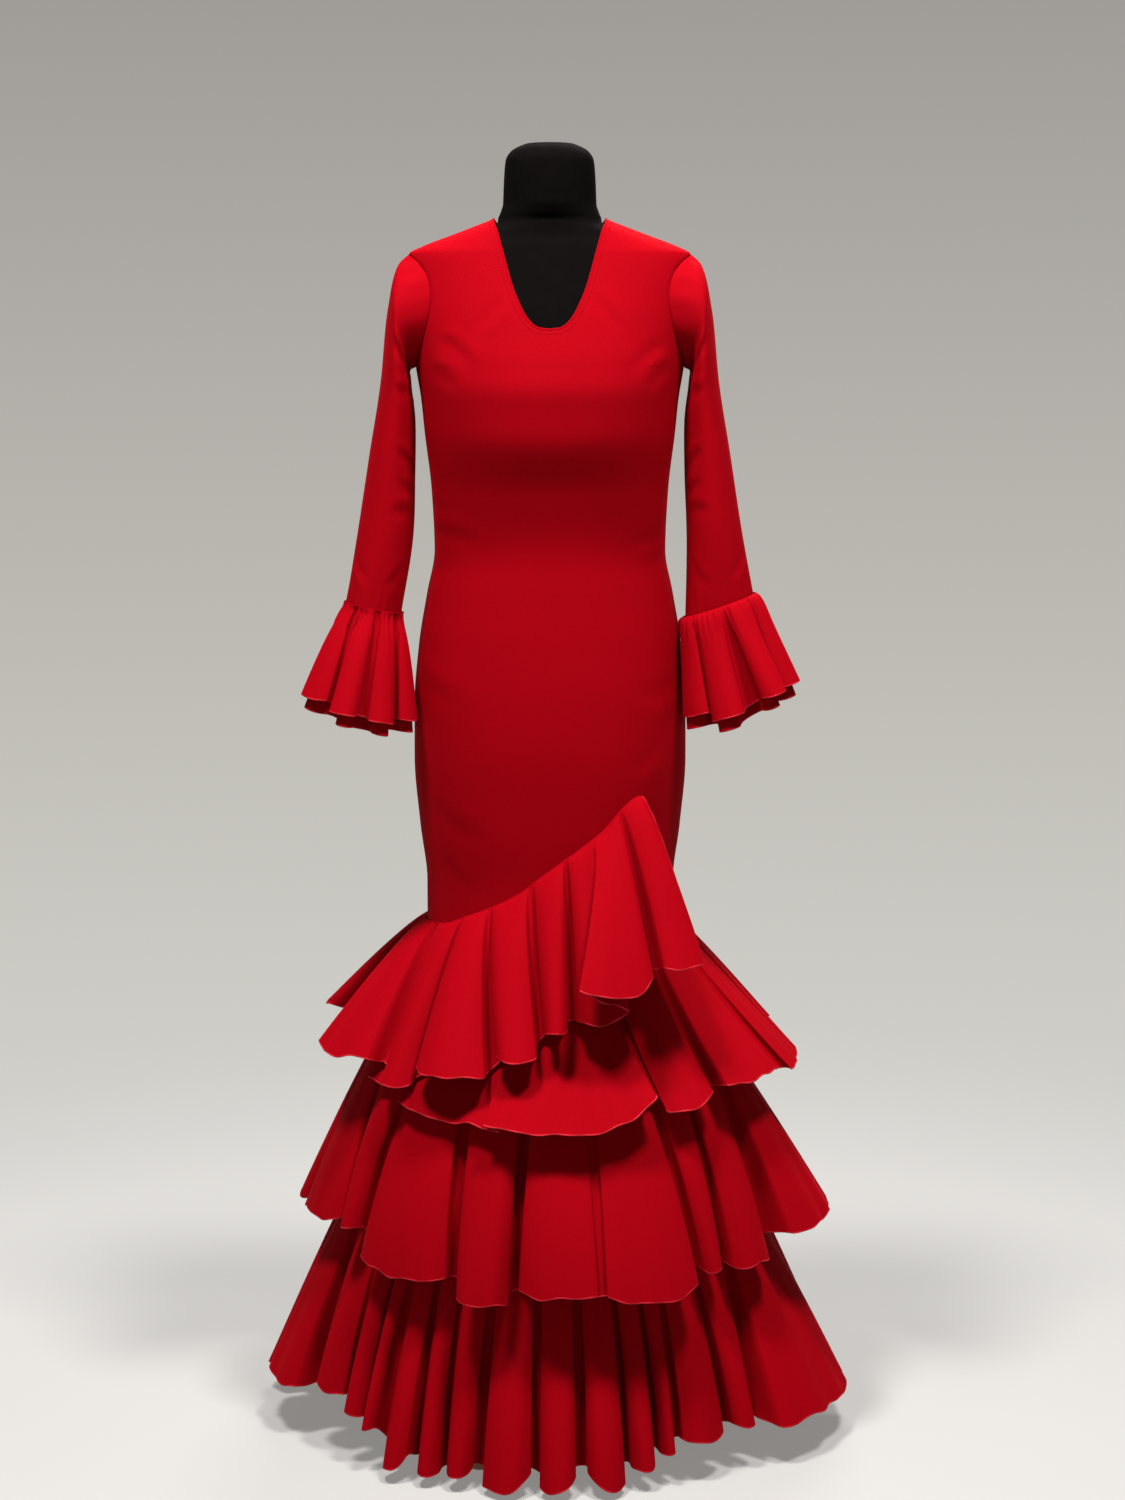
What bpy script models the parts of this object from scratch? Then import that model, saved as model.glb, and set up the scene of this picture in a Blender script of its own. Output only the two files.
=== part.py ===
"""A long flamenco dress on a dress form: fitted sheath, long sleeves with doubled cuffs, four flounces.

Units are metres and +Z is up. The dress form's foot stands on z = 0 with its pole on the Z axis, and
the dress faces -Y. Angles round the body are in degrees: 0 is the front, 90 is +X, 180 is the back.
"""

from collections import namedtuple
from math import atan2, cos, degrees, pi, radians, sin, sqrt

import bmesh
import bpy
from mathutils import Matrix, Vector

# ---------------------------------------------------------------- driving sizes

CLOTH = 0.0020  # wall of crepe
SEAM_GAP = 0.0003  # between two pieces sewn together
FORM_EASE = 0.0018  # dress form to the cloth that it fills
SHOULDER_EASE = 0.0028  # the same above the armpits, where the body turns tighter
NECK_EASE = 0.0060  # and where the shoulders turn up into the neck

SIDE_RADIUS = 0.15  # of the body near a side seam, to turn a gap into an angle
BACK_RADIUS = 0.10  # and near the middle of the back
SHEATH_HEM_Z = 0.590  # the fitted panels end here, under the top flounce
UNDERSKIRT_HEM_Z = 0.268
FORM_BOTTOM_Z = 0.790
FORM_COLUMNS = 24
PANEL_COLUMNS = 8  # from a side seam to the middle
UNDERSKIRT_COLUMNS = 32
ROUNDNESS = 2.15  # exponent of the body's oval sections

ARMHOLE_MID_Z = 1.3325
ARMHOLE_HALF_HEIGHT = 0.0660
ARMHOLE_HALF_DEG = 21.0  # how far the armhole reaches to the front and to the back
ARMHOLE_SIDES = 16

CIRCLE_SEAM_Z = 0.460  # third flounce
HEM_SEAM_Z = 0.280  # bottom flounce

POLE_RADIUS = 0.0125
FOOT_HEIGHT = 0.024
FOOT_LEG_LENGTH = 0.262
FOOT_LEG_WIDTH = 0.030
FOOT_HUB_RADIUS = 0.045
FOOT_FIRST_LEG_DEG = -19.0
FOOT_ROOT_DEG = 31.0  # half of the hub that one leg takes
FOOT_BEVEL = 0.004
FOOT_TIP_STEPS = 6

Section = namedtuple("Section", "z half_width front back")
BODY = [
    Section(0.220, 0.2434, 0.2378, 0.2434),
    Section(0.360, 0.2204, 0.2134, 0.2204),
    Section(0.460, 0.204, 0.196, 0.204),
    Section(0.500, 0.184, 0.172, 0.182),
    Section(0.540, 0.164, 0.147, 0.158),
    Section(0.560, 0.157, 0.136, 0.148),
    Section(0.590, 0.151, 0.126, 0.139),
    Section(0.615, 0.149, 0.122, 0.136),
    Section(0.650, 0.149, 0.121, 0.135),
    Section(0.720, 0.157, 0.123, 0.141),
    Section(0.800, 0.1635, 0.124, 0.149),
    Section(0.870, 0.1630, 0.121, 0.143),
    Section(0.940, 0.157, 0.114, 0.122),
    Section(1.000, 0.147, 0.107, 0.104),
    Section(1.050, 0.138, 0.103, 0.096),
    Section(1.120, 0.141, 0.111, 0.098),
    Section(1.190, 0.149, 0.126, 0.104),
    Section(1.230, 0.153, 0.126, 0.108),
    Section(1.2665, 0.159, 0.117, 0.110),
    Section(1.300, 0.163, 0.105, 0.109),
    Section(1.330, 0.166, 0.094, 0.106),
    Section(1.360, 0.168, 0.082, 0.098),
    Section(1.388, 0.169, 0.071, 0.085),
    Section(1.3985, 0.167, 0.067, 0.078),
    Section(1.408, 0.149, 0.0635, 0.072),
    Section(1.420, 0.117, 0.0605, 0.066),
    Section(1.431, 0.088, 0.0590, 0.0615),
    Section(1.440, 0.067, 0.0580, 0.0585),
    Section(1.455, 0.0585, 0.0570, 0.0570),
    Section(1.490, 0.0565, 0.0565, 0.0565),
]

NeckPoint = namedtuple("NeckPoint", "z half_width")
FRONT_NECKLINE = [
    NeckPoint(1.3075, 0.000),
    NeckPoint(1.3095, 0.013),
    NeckPoint(1.3190, 0.025),
    NeckPoint(1.3325, 0.033),
    NeckPoint(1.3560, 0.043),
    NeckPoint(1.3985, 0.055),
    NeckPoint(1.4200, 0.061),
    NeckPoint(1.4400, 0.067),
]
BACK_NECKLINE = [
    NeckPoint(1.4180, 0.000),
    NeckPoint(1.4200, 0.020),
    NeckPoint(1.4280, 0.044),
    NeckPoint(1.4400, 0.067),
]

NeckRing = namedtuple("NeckRing", "z radius")
FORM_NECK = [
    NeckRing(1.455, 0.0553),
    NeckRing(1.485, 0.0540),
    NeckRing(1.507, 0.0520),
    NeckRing(1.519, 0.0440),
    NeckRing(1.526, 0.0290),
]

SleeveRing = namedtuple("SleeveRing", "outer_x outer_z inner_x inner_z half_depth forward")
UPPER_SLEEVE = [
    SleeveRing(0.1805, 1.3830, 0.1660, 1.2620, 0.0600, 0.000),
    SleeveRing(0.1915, 1.3350, 0.1645, 1.2420, 0.0610, 0.001),
    SleeveRing(0.2005, 1.2500, 0.1600, 1.2050, 0.0580, 0.004),
    SleeveRing(0.2140, 1.1650, 0.1600, 1.1420, 0.0520, 0.012),
    SleeveRing(0.2270, 1.0800, 0.1625, 1.0650, 0.0450, 0.022),
]
Arm = namedtuple("Arm", "side wrist cuff_x outer_hem_z inner_hem_z")
ARMS = {
    "left": Arm(-1, SleeveRing(0.242, 0.987, 0.177, 0.974, 0.036, 0.034), 0.232, 0.874, 0.845),
    "right": Arm(1, SleeveRing(0.242, 0.997, 0.161, 0.969, 0.034, 0.034), 0.236, 0.893, 0.848),
}

# A fold is one outward wave of a flounce. seam_deg is where its middle is sewn on, left_deg and
# right_deg are its sides at the hem, radius is its crest's distance from the Z axis, hem_z the height
# of its hem, and valley the depth of the dip after it. left_rise and right_rise are how far its hem
# climbs towards its sides. A cuff's folds turn round the middle of its hem, and their hem_z is above
# the cuff's own hem line. The bows are how far the two lower flounces bulge half way down.
FOLD_FIELDS = "seam_deg left_deg right_deg radius hem_z valley left_rise right_rise"
Fold = namedtuple("Fold", FOLD_FIELDS, defaults=(0.0, 0.0))
RISE_ROUNDNESS = 2.5
TOP_FOLDS = [
    Fold(-78, -95, -54, 0.284, 0.462, 0.012),
    Fold(-53, -51, -40.5, 0.268, 0.440, 0.016),
    Fold(-41, -37.8, -16.7, 0.272, 0.463, 0.024, 0.004),
    Fold(-23, -15, -3.2, 0.260, 0.484, 0.022, 0.0, 0.004),
    Fold(2, -1.6, 5.3, 0.247, 0.512, 0.010, 0.0, 0.004),
    Fold(15, 8.4, 22, 0.238, 0.521, 0.014, 0.0, 0.018),
    Fold(30, 7, 30, 0.262, 0.558, 0.014, 0.006, 0.013),
    Fold(43, 31.5, 46, 0.267, 0.583, 0.060, 0.0, 0.010),
]
SECOND_FOLDS = [
    Fold(-50, -60, -46.5, 0.248, 0.436, 0.010),
    Fold(-30, -44.5, -11.6, 0.262, 0.411, 0.010, 0.012, -0.009),
    Fold(5, -16.5, 27.6, 0.283, 0.405, 0.022, 0.014, 0.040),
    Fold(42, 31, 46, 0.274, 0.421, 0.020, 0.0, 0.012),
    Fold(61, 48, 71, 0.287, 0.439, 0.004),
    Fold(81, 73, 90, 0.302, 0.436, 0.0),
]
THIRD_FOLDS = [
    Fold(-75, -92, -59, 0.302, 0.260, 0.026, -0.014, 0.012),
    Fold(-54, -57, -51, 0.300, 0.268, 0.020),
    Fold(-38, -48.5, -23, 0.310, 0.233, 0.024, 0.008, 0.003),
    Fold(-15, -20, -8.7, 0.326, 0.216, 0.055, 0.010),
    Fold(3, -6.8, 10, 0.327, 0.229, 0.010, 0.004, 0.004),
    Fold(21, 11.2, 33, 0.332, 0.219, 0.024, 0.012, 0.014),
    Fold(39, 36, 42, 0.312, 0.238, 0.022),
    Fold(50, 44, 57, 0.320, 0.234, 0.030),
    Fold(75, 59, 93, 0.345, 0.258, 0.034),
]
THIRD_BOW = 0.012
BOTTOM_BOW = 0.008
BOTTOM_FOLDS = [
    Fold(-74, -86, -64, 0.350, 0.062, 0.038),
    Fold(-55, -62, -50, 0.325, 0.075, 0.032),
    Fold(-46, -48, -43, 0.330, 0.062, 0.030),
    Fold(-39, -41.2, -38.4, 0.334, 0.052, 0.030),
    Fold(-33, -35.4, -29.5, 0.345, 0.016, 0.040),
    Fold(-26, -28, -23, 0.336, 0.017, 0.040),
    Fold(-19, -21.5, -16, 0.337, 0.019, 0.044),
    Fold(-8, -13.5, -3.5, 0.345, 0.010, 0.044),
    Fold(2, -2, 5.5, 0.345, 0.012, 0.044),
    Fold(12, 7.5, 15.5, 0.345, 0.011, 0.040),
    Fold(19, 17, 22, 0.336, 0.026, 0.034),
    Fold(25, 23.5, 26.5, 0.332, 0.038, 0.030),
    Fold(33, 28, 39, 0.337, 0.046, 0.040),
    Fold(43, 40.5, 46, 0.340, 0.054, 0.036),
    Fold(64, 48, 84, 0.374, 0.050, 0.044),
]
CUFF_FOLDS = {
    "left": [
        Fold(7, -7, 21, 0.079, 0.005, 0.014),
        Fold(57, 27, 84, 0.068, 0.013, 0.016),
        Fold(110, 92, 131, 0.064, 0.010, 0.014),
        Fold(156, 138, 176, 0.068, 0.006, 0.014),
        Fold(199, 183, 217, 0.071, 0.003, 0.014),
        Fold(243, 224, 262, 0.073, 0.004, 0.014),
        Fold(288, 275, 307, 0.079, 0.008, 0.015),
        Fold(328, 313, 343, 0.078, 0.002, 0.016),
    ],
    "right": [
        Fold(-66, -88, -45, 0.082, 0.010, 0.014),
        Fold(-24, -38, -7, 0.080, -0.001, 0.016),
        Fold(24, 9, 37, 0.076, 0.009, 0.015),
        Fold(64, 43, 86, 0.063, 0.012, 0.014),
        Fold(111, 92, 131, 0.062, 0.010, 0.014),
        Fold(155, 138, 174, 0.068, 0.006, 0.014),
        Fold(200, 181, 219, 0.073, 0.002, 0.014),
        Fold(242, 226, 260, 0.075, 0.005, 0.014),
    ],
}
CUFF_LAYER_STEP = 0.005  # at its hem the under layer lies this far inside the top one's hem
CUFF_LAYER_DEG = 5.0  # and its folds are this much narrower on each side
CUFF_LAYER_DIP = 0.004  # with dips this much deeper between them
CUFF_WIDTH = 0.150
CUFF_FORWARD = 0.050  # the middle of a cuff's hem, in front of the shoulder
CUFF_EASE = 0.0010  # between the sleeve's end and the top layer
CUFF_OVERLAP = 0.003  # the top layer starts this far up the sleeve
CUFF_LAYER_DROP = 0.015  # and shows this much below it

# The outline of one fold: how far across it, and how deep from its crest to the valley.
FOLD_OUTLINE = ((0.0, 0.55), (0.07, 0.2), (0.3, 0.0), (0.7, 0.0), (0.93, 0.2), (1.0, 0.55))
WIDE_FOLD_OUTLINE = (
    (0.0, 0.55),
    (0.05, 0.2),
    (0.2, 0.04),
    (0.4, 0.0),
    (0.6, 0.0),
    (0.8, 0.04),
    (0.95, 0.2),
    (1.0, 0.55),
)
WIDE_FOLD = 0.065  # a fold at least this wide at its hem takes the rounder outline
PLAIN_GAP = 0.11  # of a plain fold's width, the dip after it
PLAIN_SHIFT = 0.10  # of its width, how far its sides may stray
PLAIN_WAVE = 0.006  # how far its radius and its hem may stray
VALLEY_FLOOR = (0.28, 0.72)  # where the valley's two floor points lie between its sides
FOLD_SEAM_SHARE = 0.8  # of the seam between two valleys, the part that the fold's crest takes

SeamPoint = namedtuple("SeamPoint", "deg z")
TOP_SEAM = [
    SeamPoint(-272, 0.604),
    SeamPoint(-90, 0.604),
    SeamPoint(-62, 0.608),
    SeamPoint(-43, 0.624),
    SeamPoint(-20, 0.648),
    SeamPoint(-5, 0.672),
    SeamPoint(26, 0.722),
    SeamPoint(48, 0.766),
]
SECOND_SEAM = [SeamPoint(-64, 0.560), SeamPoint(0, 0.572), SeamPoint(90, 0.600)]

ZIP_WIDTH = 0.0050
ZIP_HEIGHT = 0.0012
ZIP_TOP_Z = 1.412
ZIP_BOTTOM_Z = 0.880
SLIDER_Z = 1.398
SLIDER_WIDTH = 0.0070
SLIDER_LENGTH = 0.0100
SLIDER_HEIGHT = 0.0022
EAR_WIDTH = 0.0012
EAR_LENGTH = 0.0030
EAR_RISE = 0.0012  # above the pin's middle
PIN_FROM_TOP = 0.0024  # pin's middle to the slider's upper end
SINK = 0.0001  # by which joined shapes reach into each other
PIN_RADIUS = 0.0006
EYE_RADIUS = 0.0018
PULL_LENGTH = 0.0230
PULL_THICKNESS = 0.0013
PULL_GAP = 0.0003

NEARLY_EQUAL = 0.04  # share by which the two diagonals of a face may differ


# ---------------------------------------------------------------- reading the tables


def read(table, key):
    """Every column after the first of a table, read at key through a smooth curve."""
    keys = [row[0] for row in table]
    key = min(max(key, keys[0]), keys[-1])
    last = len(table) - 2
    low = next(i for i in range(last + 1) if key <= keys[i + 1] or i == last)
    span = keys[low + 1] - keys[low]
    t = (key - keys[low]) / span
    values = []
    for column in range(1, len(table[0])):
        points = [row[column] for row in table]

        def slope(i):
            if i == 0 or i == len(table) - 1:
                return 0.0
            before = (points[i] - points[i - 1]) / (keys[i] - keys[i - 1])
            after = (points[i + 1] - points[i]) / (keys[i + 1] - keys[i])
            if before * after <= 0:
                return 0.0
            return 2 * before * after / (before + after)

        start = slope(low) * span
        end = slope(low + 1) * span
        rise = points[low + 1] - points[low]
        values.append(
            points[low]
            + t * start
            + t * t * (3 * rise - 2 * start - end)
            + t * t * t * (start + end - 2 * rise)
        )
    return values


# ---------------------------------------------------------------- the body that the dress follows


def polar(deg, radius, z):
    angle = radians(deg)
    return Vector((radius * sin(angle), -radius * cos(angle), z))


def body_point(deg, z, out=0.0):
    """A point on the outer face of the dress, or that far outside it."""
    half_width, front, back = read(BODY, z)
    angle = radians(deg)
    depth = front if cos(angle) > 0 else back
    across = abs(sin(angle) / half_width) ** ROUNDNESS
    along = abs(cos(angle) / depth) ** ROUNDNESS
    point = polar(deg, (across + along) ** (-1 / ROUNDNESS), z)
    return point + out * body_normal(deg, z) if out else point


def body_normal(deg, z):
    step_deg = 0.5
    step_z = 0.002
    round_body = body_point(deg + step_deg, z) - body_point(deg - step_deg, z)
    up_body = body_point(deg, z + step_z) - body_point(deg, z - step_z)
    return round_body.cross(up_body).normalized()


def body_angle(x, z, back=False):
    """The angle at which the body is x wide from its middle."""
    half_width, front, back_depth = read(BODY, z)
    depth = back_depth if back else front
    left_over = max(0.0, 1 - (min(x, half_width) / half_width) ** ROUNDNESS)
    return degrees(atan2(x, depth * left_over ** (1 / ROUNDNESS)))


def oval_turn(deg, z):
    """The angle on a circle that the body's oval stretches to this angle, and in polar_turn back."""
    half_width, front, back = read(BODY, z)
    angle = radians(deg)
    return degrees(atan2(sin(angle) / half_width, cos(angle) / (front if cos(angle) > 0 else back)))


def polar_turn(turn, z):
    half_width, front, back = read(BODY, z)
    angle = radians(turn)
    return degrees(atan2(sin(angle) * half_width, cos(angle) * (front if cos(angle) > 0 else back)))


def cloth_pair(deg, z, out=0.0):
    """Outer and inner face of cloth that lies on the body."""
    normal = body_normal(deg, z)
    outer = body_point(deg, z) + out * normal
    return outer, outer - CLOTH * normal


# ---------------------------------------------------------------- meshes and materials


def srgb(hex_colour):
    channels = [int(hex_colour[i : i + 2], 16) / 255 for i in (1, 3, 5)]
    linear = [c / 12.92 if c <= 0.04045 else ((c + 0.055) / 1.055) ** 2.4 for c in channels]
    return (*linear, 1.0)


def material(name, hex_colour, roughness, metallic=0.0):
    made = bpy.data.materials.new(name)
    made.use_nodes = True
    shader = made.node_tree.nodes["Principled BSDF"]
    shader.inputs["Base Color"].default_value = srgb(hex_colour)
    shader.inputs["Roughness"].default_value = roughness
    shader.inputs["Metallic"].default_value = metallic
    made.diffuse_color = srgb(hex_colour)
    return made


def add_object(name, mesh_maker, paint):
    """Turns a bmesh into a named object with its faces pointing out."""
    bmesh.ops.recalc_face_normals(mesh_maker, faces=mesh_maker.faces)
    mesh = bpy.data.meshes.new(name)
    mesh_maker.to_mesh(mesh)
    mesh_maker.free()
    mesh.materials.append(paint)
    mesh.shade_smooth()
    mesh.set_sharp_from_angle(angle=radians(50))
    made = bpy.data.objects.new(name, mesh)
    bpy.context.scene.collection.objects.link(made)
    return made


def split_quad(ring):
    """Two triangles along the shorter diagonal, or the outer one where they are nearly as long.

    Both faces of a wall bend on the same line, and so do two layers that lie on each other.
    """
    a, b, c, d = ring
    first, second = c.co - a.co, d.co - b.co
    use_first = first.length <= second.length
    if abs(first.length - second.length) < NEARLY_EQUAL * first.length:
        use_first = (a.co + c.co - b.co - d.co).dot(first.cross(second)) > 0
    return [(a, b, c), (a, c, d)] if use_first else [(a, b, d), (b, c, d)]


def wall(name, grids, paint):
    """A closed wall from grids of (outer, inner) points. Points that coincide are joined."""
    maker = bmesh.new()
    outside = {}
    inside = {}

    def corner(pair):
        key = tuple(round(c, 5) for c in pair[0])
        if key not in outside:
            outside[key] = maker.verts.new(pair[0])
            inside[outside[key]] = maker.verts.new(pair[1])
        return outside[key]

    outer_faces = []
    for rows in grids:
        for low, high in zip(rows, rows[1:]):
            for i in range(len(low) - 1):
                ring = [corner(p) for p in (low[i], low[i + 1], high[i + 1], high[i])]
                for triangle in split_quad(ring):
                    if len(set(triangle)) == 3:
                        outer_faces.append(maker.faces.new(triangle))
    rims = [edge for edge in maker.edges if len(edge.link_faces) == 1]
    for face in outer_faces:
        maker.faces.new([inside[v] for v in reversed(face.verts)])
    for edge in rims:
        first, second = edge.verts
        maker.faces.new([first, second, inside[second], inside[first]])
    return add_object(name, maker, paint)


def loft(name, rings, paint):
    """A closed solid through rings of the same number of points, with flat ends."""
    maker = bmesh.new()
    loops = [[maker.verts.new(p) for p in ring] for ring in rings]
    for low, high in zip(loops, loops[1:]):
        for i in range(len(low)):
            after = (i + 1) % len(low)
            maker.faces.new([low[i], low[after], high[after], high[i]])
    maker.faces.new(list(reversed(loops[0])))
    maker.faces.new(loops[-1])
    return add_object(name, maker, paint)


def grid_normals(rows, closed):
    """Outward normals of a grid whose columns run round the body and whose rows run down it."""
    count = len(rows[0])
    normals = []
    for j, row in enumerate(rows):
        above = rows[max(j - 1, 0)]
        below = rows[min(j + 1, len(rows) - 1)]
        line = []
        for i in range(count):
            if closed:
                before, after = row[(i - 1) % (count - 1)], row[(i + 1) % (count - 1)]
            else:
                before, after = row[max(i - 1, 0)], row[min(i + 1, count - 1)]
            line.append((above[i] - below[i]).cross(before - after).normalized())
        normals.append(line)
    return normals


def thick_grid(rows, closed):
    normals = grid_normals(rows, closed)
    return [
        [(point, point - CLOTH * normal) for point, normal in zip(row, line)]
        for row, line in zip(rows, normals)
    ]


# ---------------------------------------------------------------- fitted panels


def armhole_turn(step):
    return 2 * pi * step / ARMHOLE_SIDES


def armhole_reach(z):
    """How many degrees before the side the panel stops, beside the armhole."""
    rise = (z - ARMHOLE_MID_Z) / ARMHOLE_HALF_HEIGHT
    return ARMHOLE_HALF_DEG * sqrt(max(0.0, 1 - rise * rise))


def panel_heights():
    below = [SHEATH_HEM_Z, 0.615, 0.65, 0.72, 0.80, 0.87, 0.94, 1.00, 1.05, 1.12, 1.18, 1.23]
    beside = [
        ARMHOLE_MID_Z - ARMHOLE_HALF_HEIGHT * cos(armhole_turn(step))
        for step in range(ARMHOLE_SIDES // 2 + 1)
    ]
    above = [1.408, 1.420, 1.431, 1.440]
    neckline = [1.3095, 1.3190]
    return below + sorted(beside + neckline) + above


def half_panel(side, back):
    """One half of the front or of the back, from the side seam to its middle or its neckline."""
    neckline = BACK_NECKLINE if back else FRONT_NECKLINE
    rows = []
    for z in panel_heights():
        edge = 90 - armhole_reach(z) - degrees(SEAM_GAP / 2 / SIDE_RADIUS)
        inner = 0.0
        if z > neckline[0].z:
            inner = body_angle(read(neckline, z)[0], z, back)
        elif back:
            inner = degrees(SEAM_GAP / 2 / BACK_RADIUS)
        ends = [180 - deg if back else deg for deg in (edge, min(inner, edge))]
        first, last = [oval_turn(deg, z) for deg in ends]
        row = []
        for column in range(PANEL_COLUMNS + 1):
            deg = polar_turn(first + (last - first) * column / PANEL_COLUMNS, z)
            row.append(cloth_pair(side * deg, z))
        rows.append(row)
    return rows


def make_panels(crepe):
    wall("dress_front", [half_panel(-1, False), half_panel(1, False)], crepe)
    wall("dress_back_left", [half_panel(-1, True)], crepe)
    wall("dress_back_right", [half_panel(1, True)], crepe)


def make_underskirt(crepe):
    columns = UNDERSKIRT_COLUMNS
    top = SHEATH_HEM_Z - SEAM_GAP
    heights = [top, 0.575, 0.560, 0.540, 0.500, CIRCLE_SEAM_Z, 0.36, UNDERSKIRT_HEM_Z]
    rows = [[cloth_pair(360 * i / columns, z) for i in range(columns + 1)] for z in heights]
    wall("underskirt", [rows], crepe)


# ---------------------------------------------------------------- sleeves


def armhole_ring(side):
    """The sleeve's first ring, just inside the armhole, from the shoulder round the front."""
    half_deg = ARMHOLE_HALF_DEG - degrees(SEAM_GAP / SIDE_RADIUS)
    half_height = ARMHOLE_HALF_HEIGHT - SEAM_GAP
    pairs = []
    for step in range(ARMHOLE_SIDES + 1):
        turn = armhole_turn(step)
        z = ARMHOLE_MID_Z + half_height * cos(turn)
        pairs.append(cloth_pair(side * (90 - half_deg * sin(turn)), z))
    return pairs


def sleeve_ring(side, ring):
    """An oval ring of the sleeve, from its outer side round the front."""
    outer = Vector((side * ring.outer_x, 0, ring.outer_z))
    inner = Vector((side * ring.inner_x, 0, ring.inner_z))
    middle = (outer + inner) / 2 - Vector((0, ring.forward, 0))
    reach = (outer - inner) / 2
    depth = Vector((0, -ring.half_depth, 0))
    return [
        middle + reach * cos(armhole_turn(step)) + depth * sin(armhole_turn(step))
        for step in range(ARMHOLE_SIDES + 1)
    ]


def make_sleeve(name, arm, crepe):
    first = armhole_ring(arm.side)
    rings = [sleeve_ring(arm.side, ring) for ring in [*UPPER_SLEEVE, arm.wrist]]
    rows = [[outer for outer, _ in first], *rings]
    if arm.side > 0:
        rows = [row[::-1] for row in rows]
        first = first[::-1]
    pairs = thick_grid(rows, True)
    # At the armhole the wall turns from the body's direction into the sleeve's.
    pairs[0] = [
        (outer, outer + CLOTH * ((in_body - outer) + (in_sleeve - outer)).normalized())
        for (outer, in_body), (_, in_sleeve) in zip(first, pairs[0])
    ]
    wall(name, [pairs], crepe)


# ---------------------------------------------------------------- flounces


def uneven(number, amount):
    """A small change, different for each number, so that hidden folds aren't all alike."""
    return amount * sin(2.4 * number + 0.7)


def plain_folds(start_deg, end_deg, count, radius, hem_z, valley):
    """The folds of a stretch that has no fold of its own in the tables."""
    width = (end_deg - start_deg) / count
    gap = PLAIN_GAP * width
    shift = PLAIN_SHIFT * width
    folds = []
    for number in range(count):
        left = start_deg + number * width + uneven(number, shift) * (number > 0)
        right = start_deg + (number + 1) * width + uneven(number + 1, shift) * (number < count - 1)
        folds.append(
            Fold(
                (left + right) / 2,
                left + gap / 2,
                right - gap / 2,
                radius + uneven(3 * number, PLAIN_WAVE),
                hem_z + uneven(5 * number + 1, PLAIN_WAVE),
                valley,
            )
        )
    return folds


HemPoint = namedtuple("HemPoint", "seam_deg deg radius z")


def fold_points(folds, closed, start_open, end_open):
    """The hem's outline, point by point, and where on the seam each point is gathered to."""
    points = []
    count = len(folds)
    for number, fold in enumerate(folds):
        before = folds[number - 1]
        after = folds[(number + 1) % count]
        first = number == 0 and not closed
        last = number == count - 1 and not closed
        turn_before = -360 if number == 0 and closed else 0
        turn_after = 360 if number == count - 1 and closed else 0
        seam_start = start_open if first else (before.seam_deg + turn_before + fold.seam_deg) / 2
        seam_end = end_open if last else (after.seam_deg + turn_after + fold.seam_deg) / 2
        width = fold.right_deg - fold.left_deg
        over_before = not first and before.right_deg + turn_before > fold.left_deg
        under_after = not last and after.left_deg + turn_after < fold.right_deg
        outline = WIDE_FOLD_OUTLINE if radians(width) * fold.radius > WIDE_FOLD else FOLD_OUTLINE
        for across, depth in outline:
            left_side = across < 0.5
            sink = depth * (before.valley if left_side and not first else fold.valley)
            if left_side and first:
                sink = 0.0
            if left_side and over_before:
                sink = depth * 0.7 * (fold.radius - before.radius)
            if not left_side and under_after:
                sink = -depth * 0.7 * (after.radius - fold.radius)
            half_seam = fold.seam_deg - seam_start if left_side else seam_end - fold.seam_deg
            share = 1.0 if (first and across == 0) or (last and across == 1) else FOLD_SEAM_SHARE
            seam_deg = fold.seam_deg + share * (2 * across - 1) * half_seam
            rise = (fold.left_rise if left_side else fold.right_rise) * abs(2 * across - 1) ** RISE_ROUNDNESS
            deg = fold.left_deg + across * width
            points.append(HemPoint(seam_deg, deg, fold.radius - sink, fold.hem_z + rise))
        if last or under_after:
            continue
        gap = after.left_deg + turn_after - fold.right_deg
        floor = min(fold.radius, after.radius) - fold.valley
        right_z = fold.hem_z + fold.right_rise
        left_z = after.hem_z + after.left_rise
        for part in VALLEY_FLOOR:
            side_seam = seam_end - fold.seam_deg if part < 0.5 else after.seam_deg + turn_after - seam_end
            points.append(
                HemPoint(
                    seam_end + (2 * part - 1) * (1 - FOLD_SEAM_SHARE) * side_seam,
                    fold.right_deg + part * gap,
                    floor,
                    right_z + part * (left_z - right_z),
                )
            )
    if closed:
        start = points[0]
        points.append(HemPoint(start.seam_deg + 360, start.deg + 360, start.radius, start.z))
    return points


def flounce_rows(points, seam_point, hem_point, drops, gather, bow=0.0):
    """Rows of points from the seam to the hem. gather below 1 makes the folds start higher up, and
    bow is how far the cloth bulges outward half way down."""
    rows = []
    for drop in drops:
        row = []
        for point in points:
            top = seam_point(point.seam_deg)
            hem = hem_point(point.deg, point.radius, point.z)
            plain = hem_point(point.seam_deg, point.radius, point.z)
            bulge = 4 * bow * drop * (1 - drop) * Vector((hem.x, hem.y, 0)).normalized()
            row.append(top.lerp(hem, drop) + (hem - plain) * (drop**gather - drop) + bulge)
        rows.append(row)
    return rows


def skirt_seam(seam):
    """Where a flounce is sewn to the dress, as a function of the angle. seam is a height or a table."""

    def point(deg):
        z = seam if isinstance(seam, float) else read(seam, deg)[0]
        return body_point(deg, z, 2 * SEAM_GAP + CLOTH)

    return point


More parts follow.
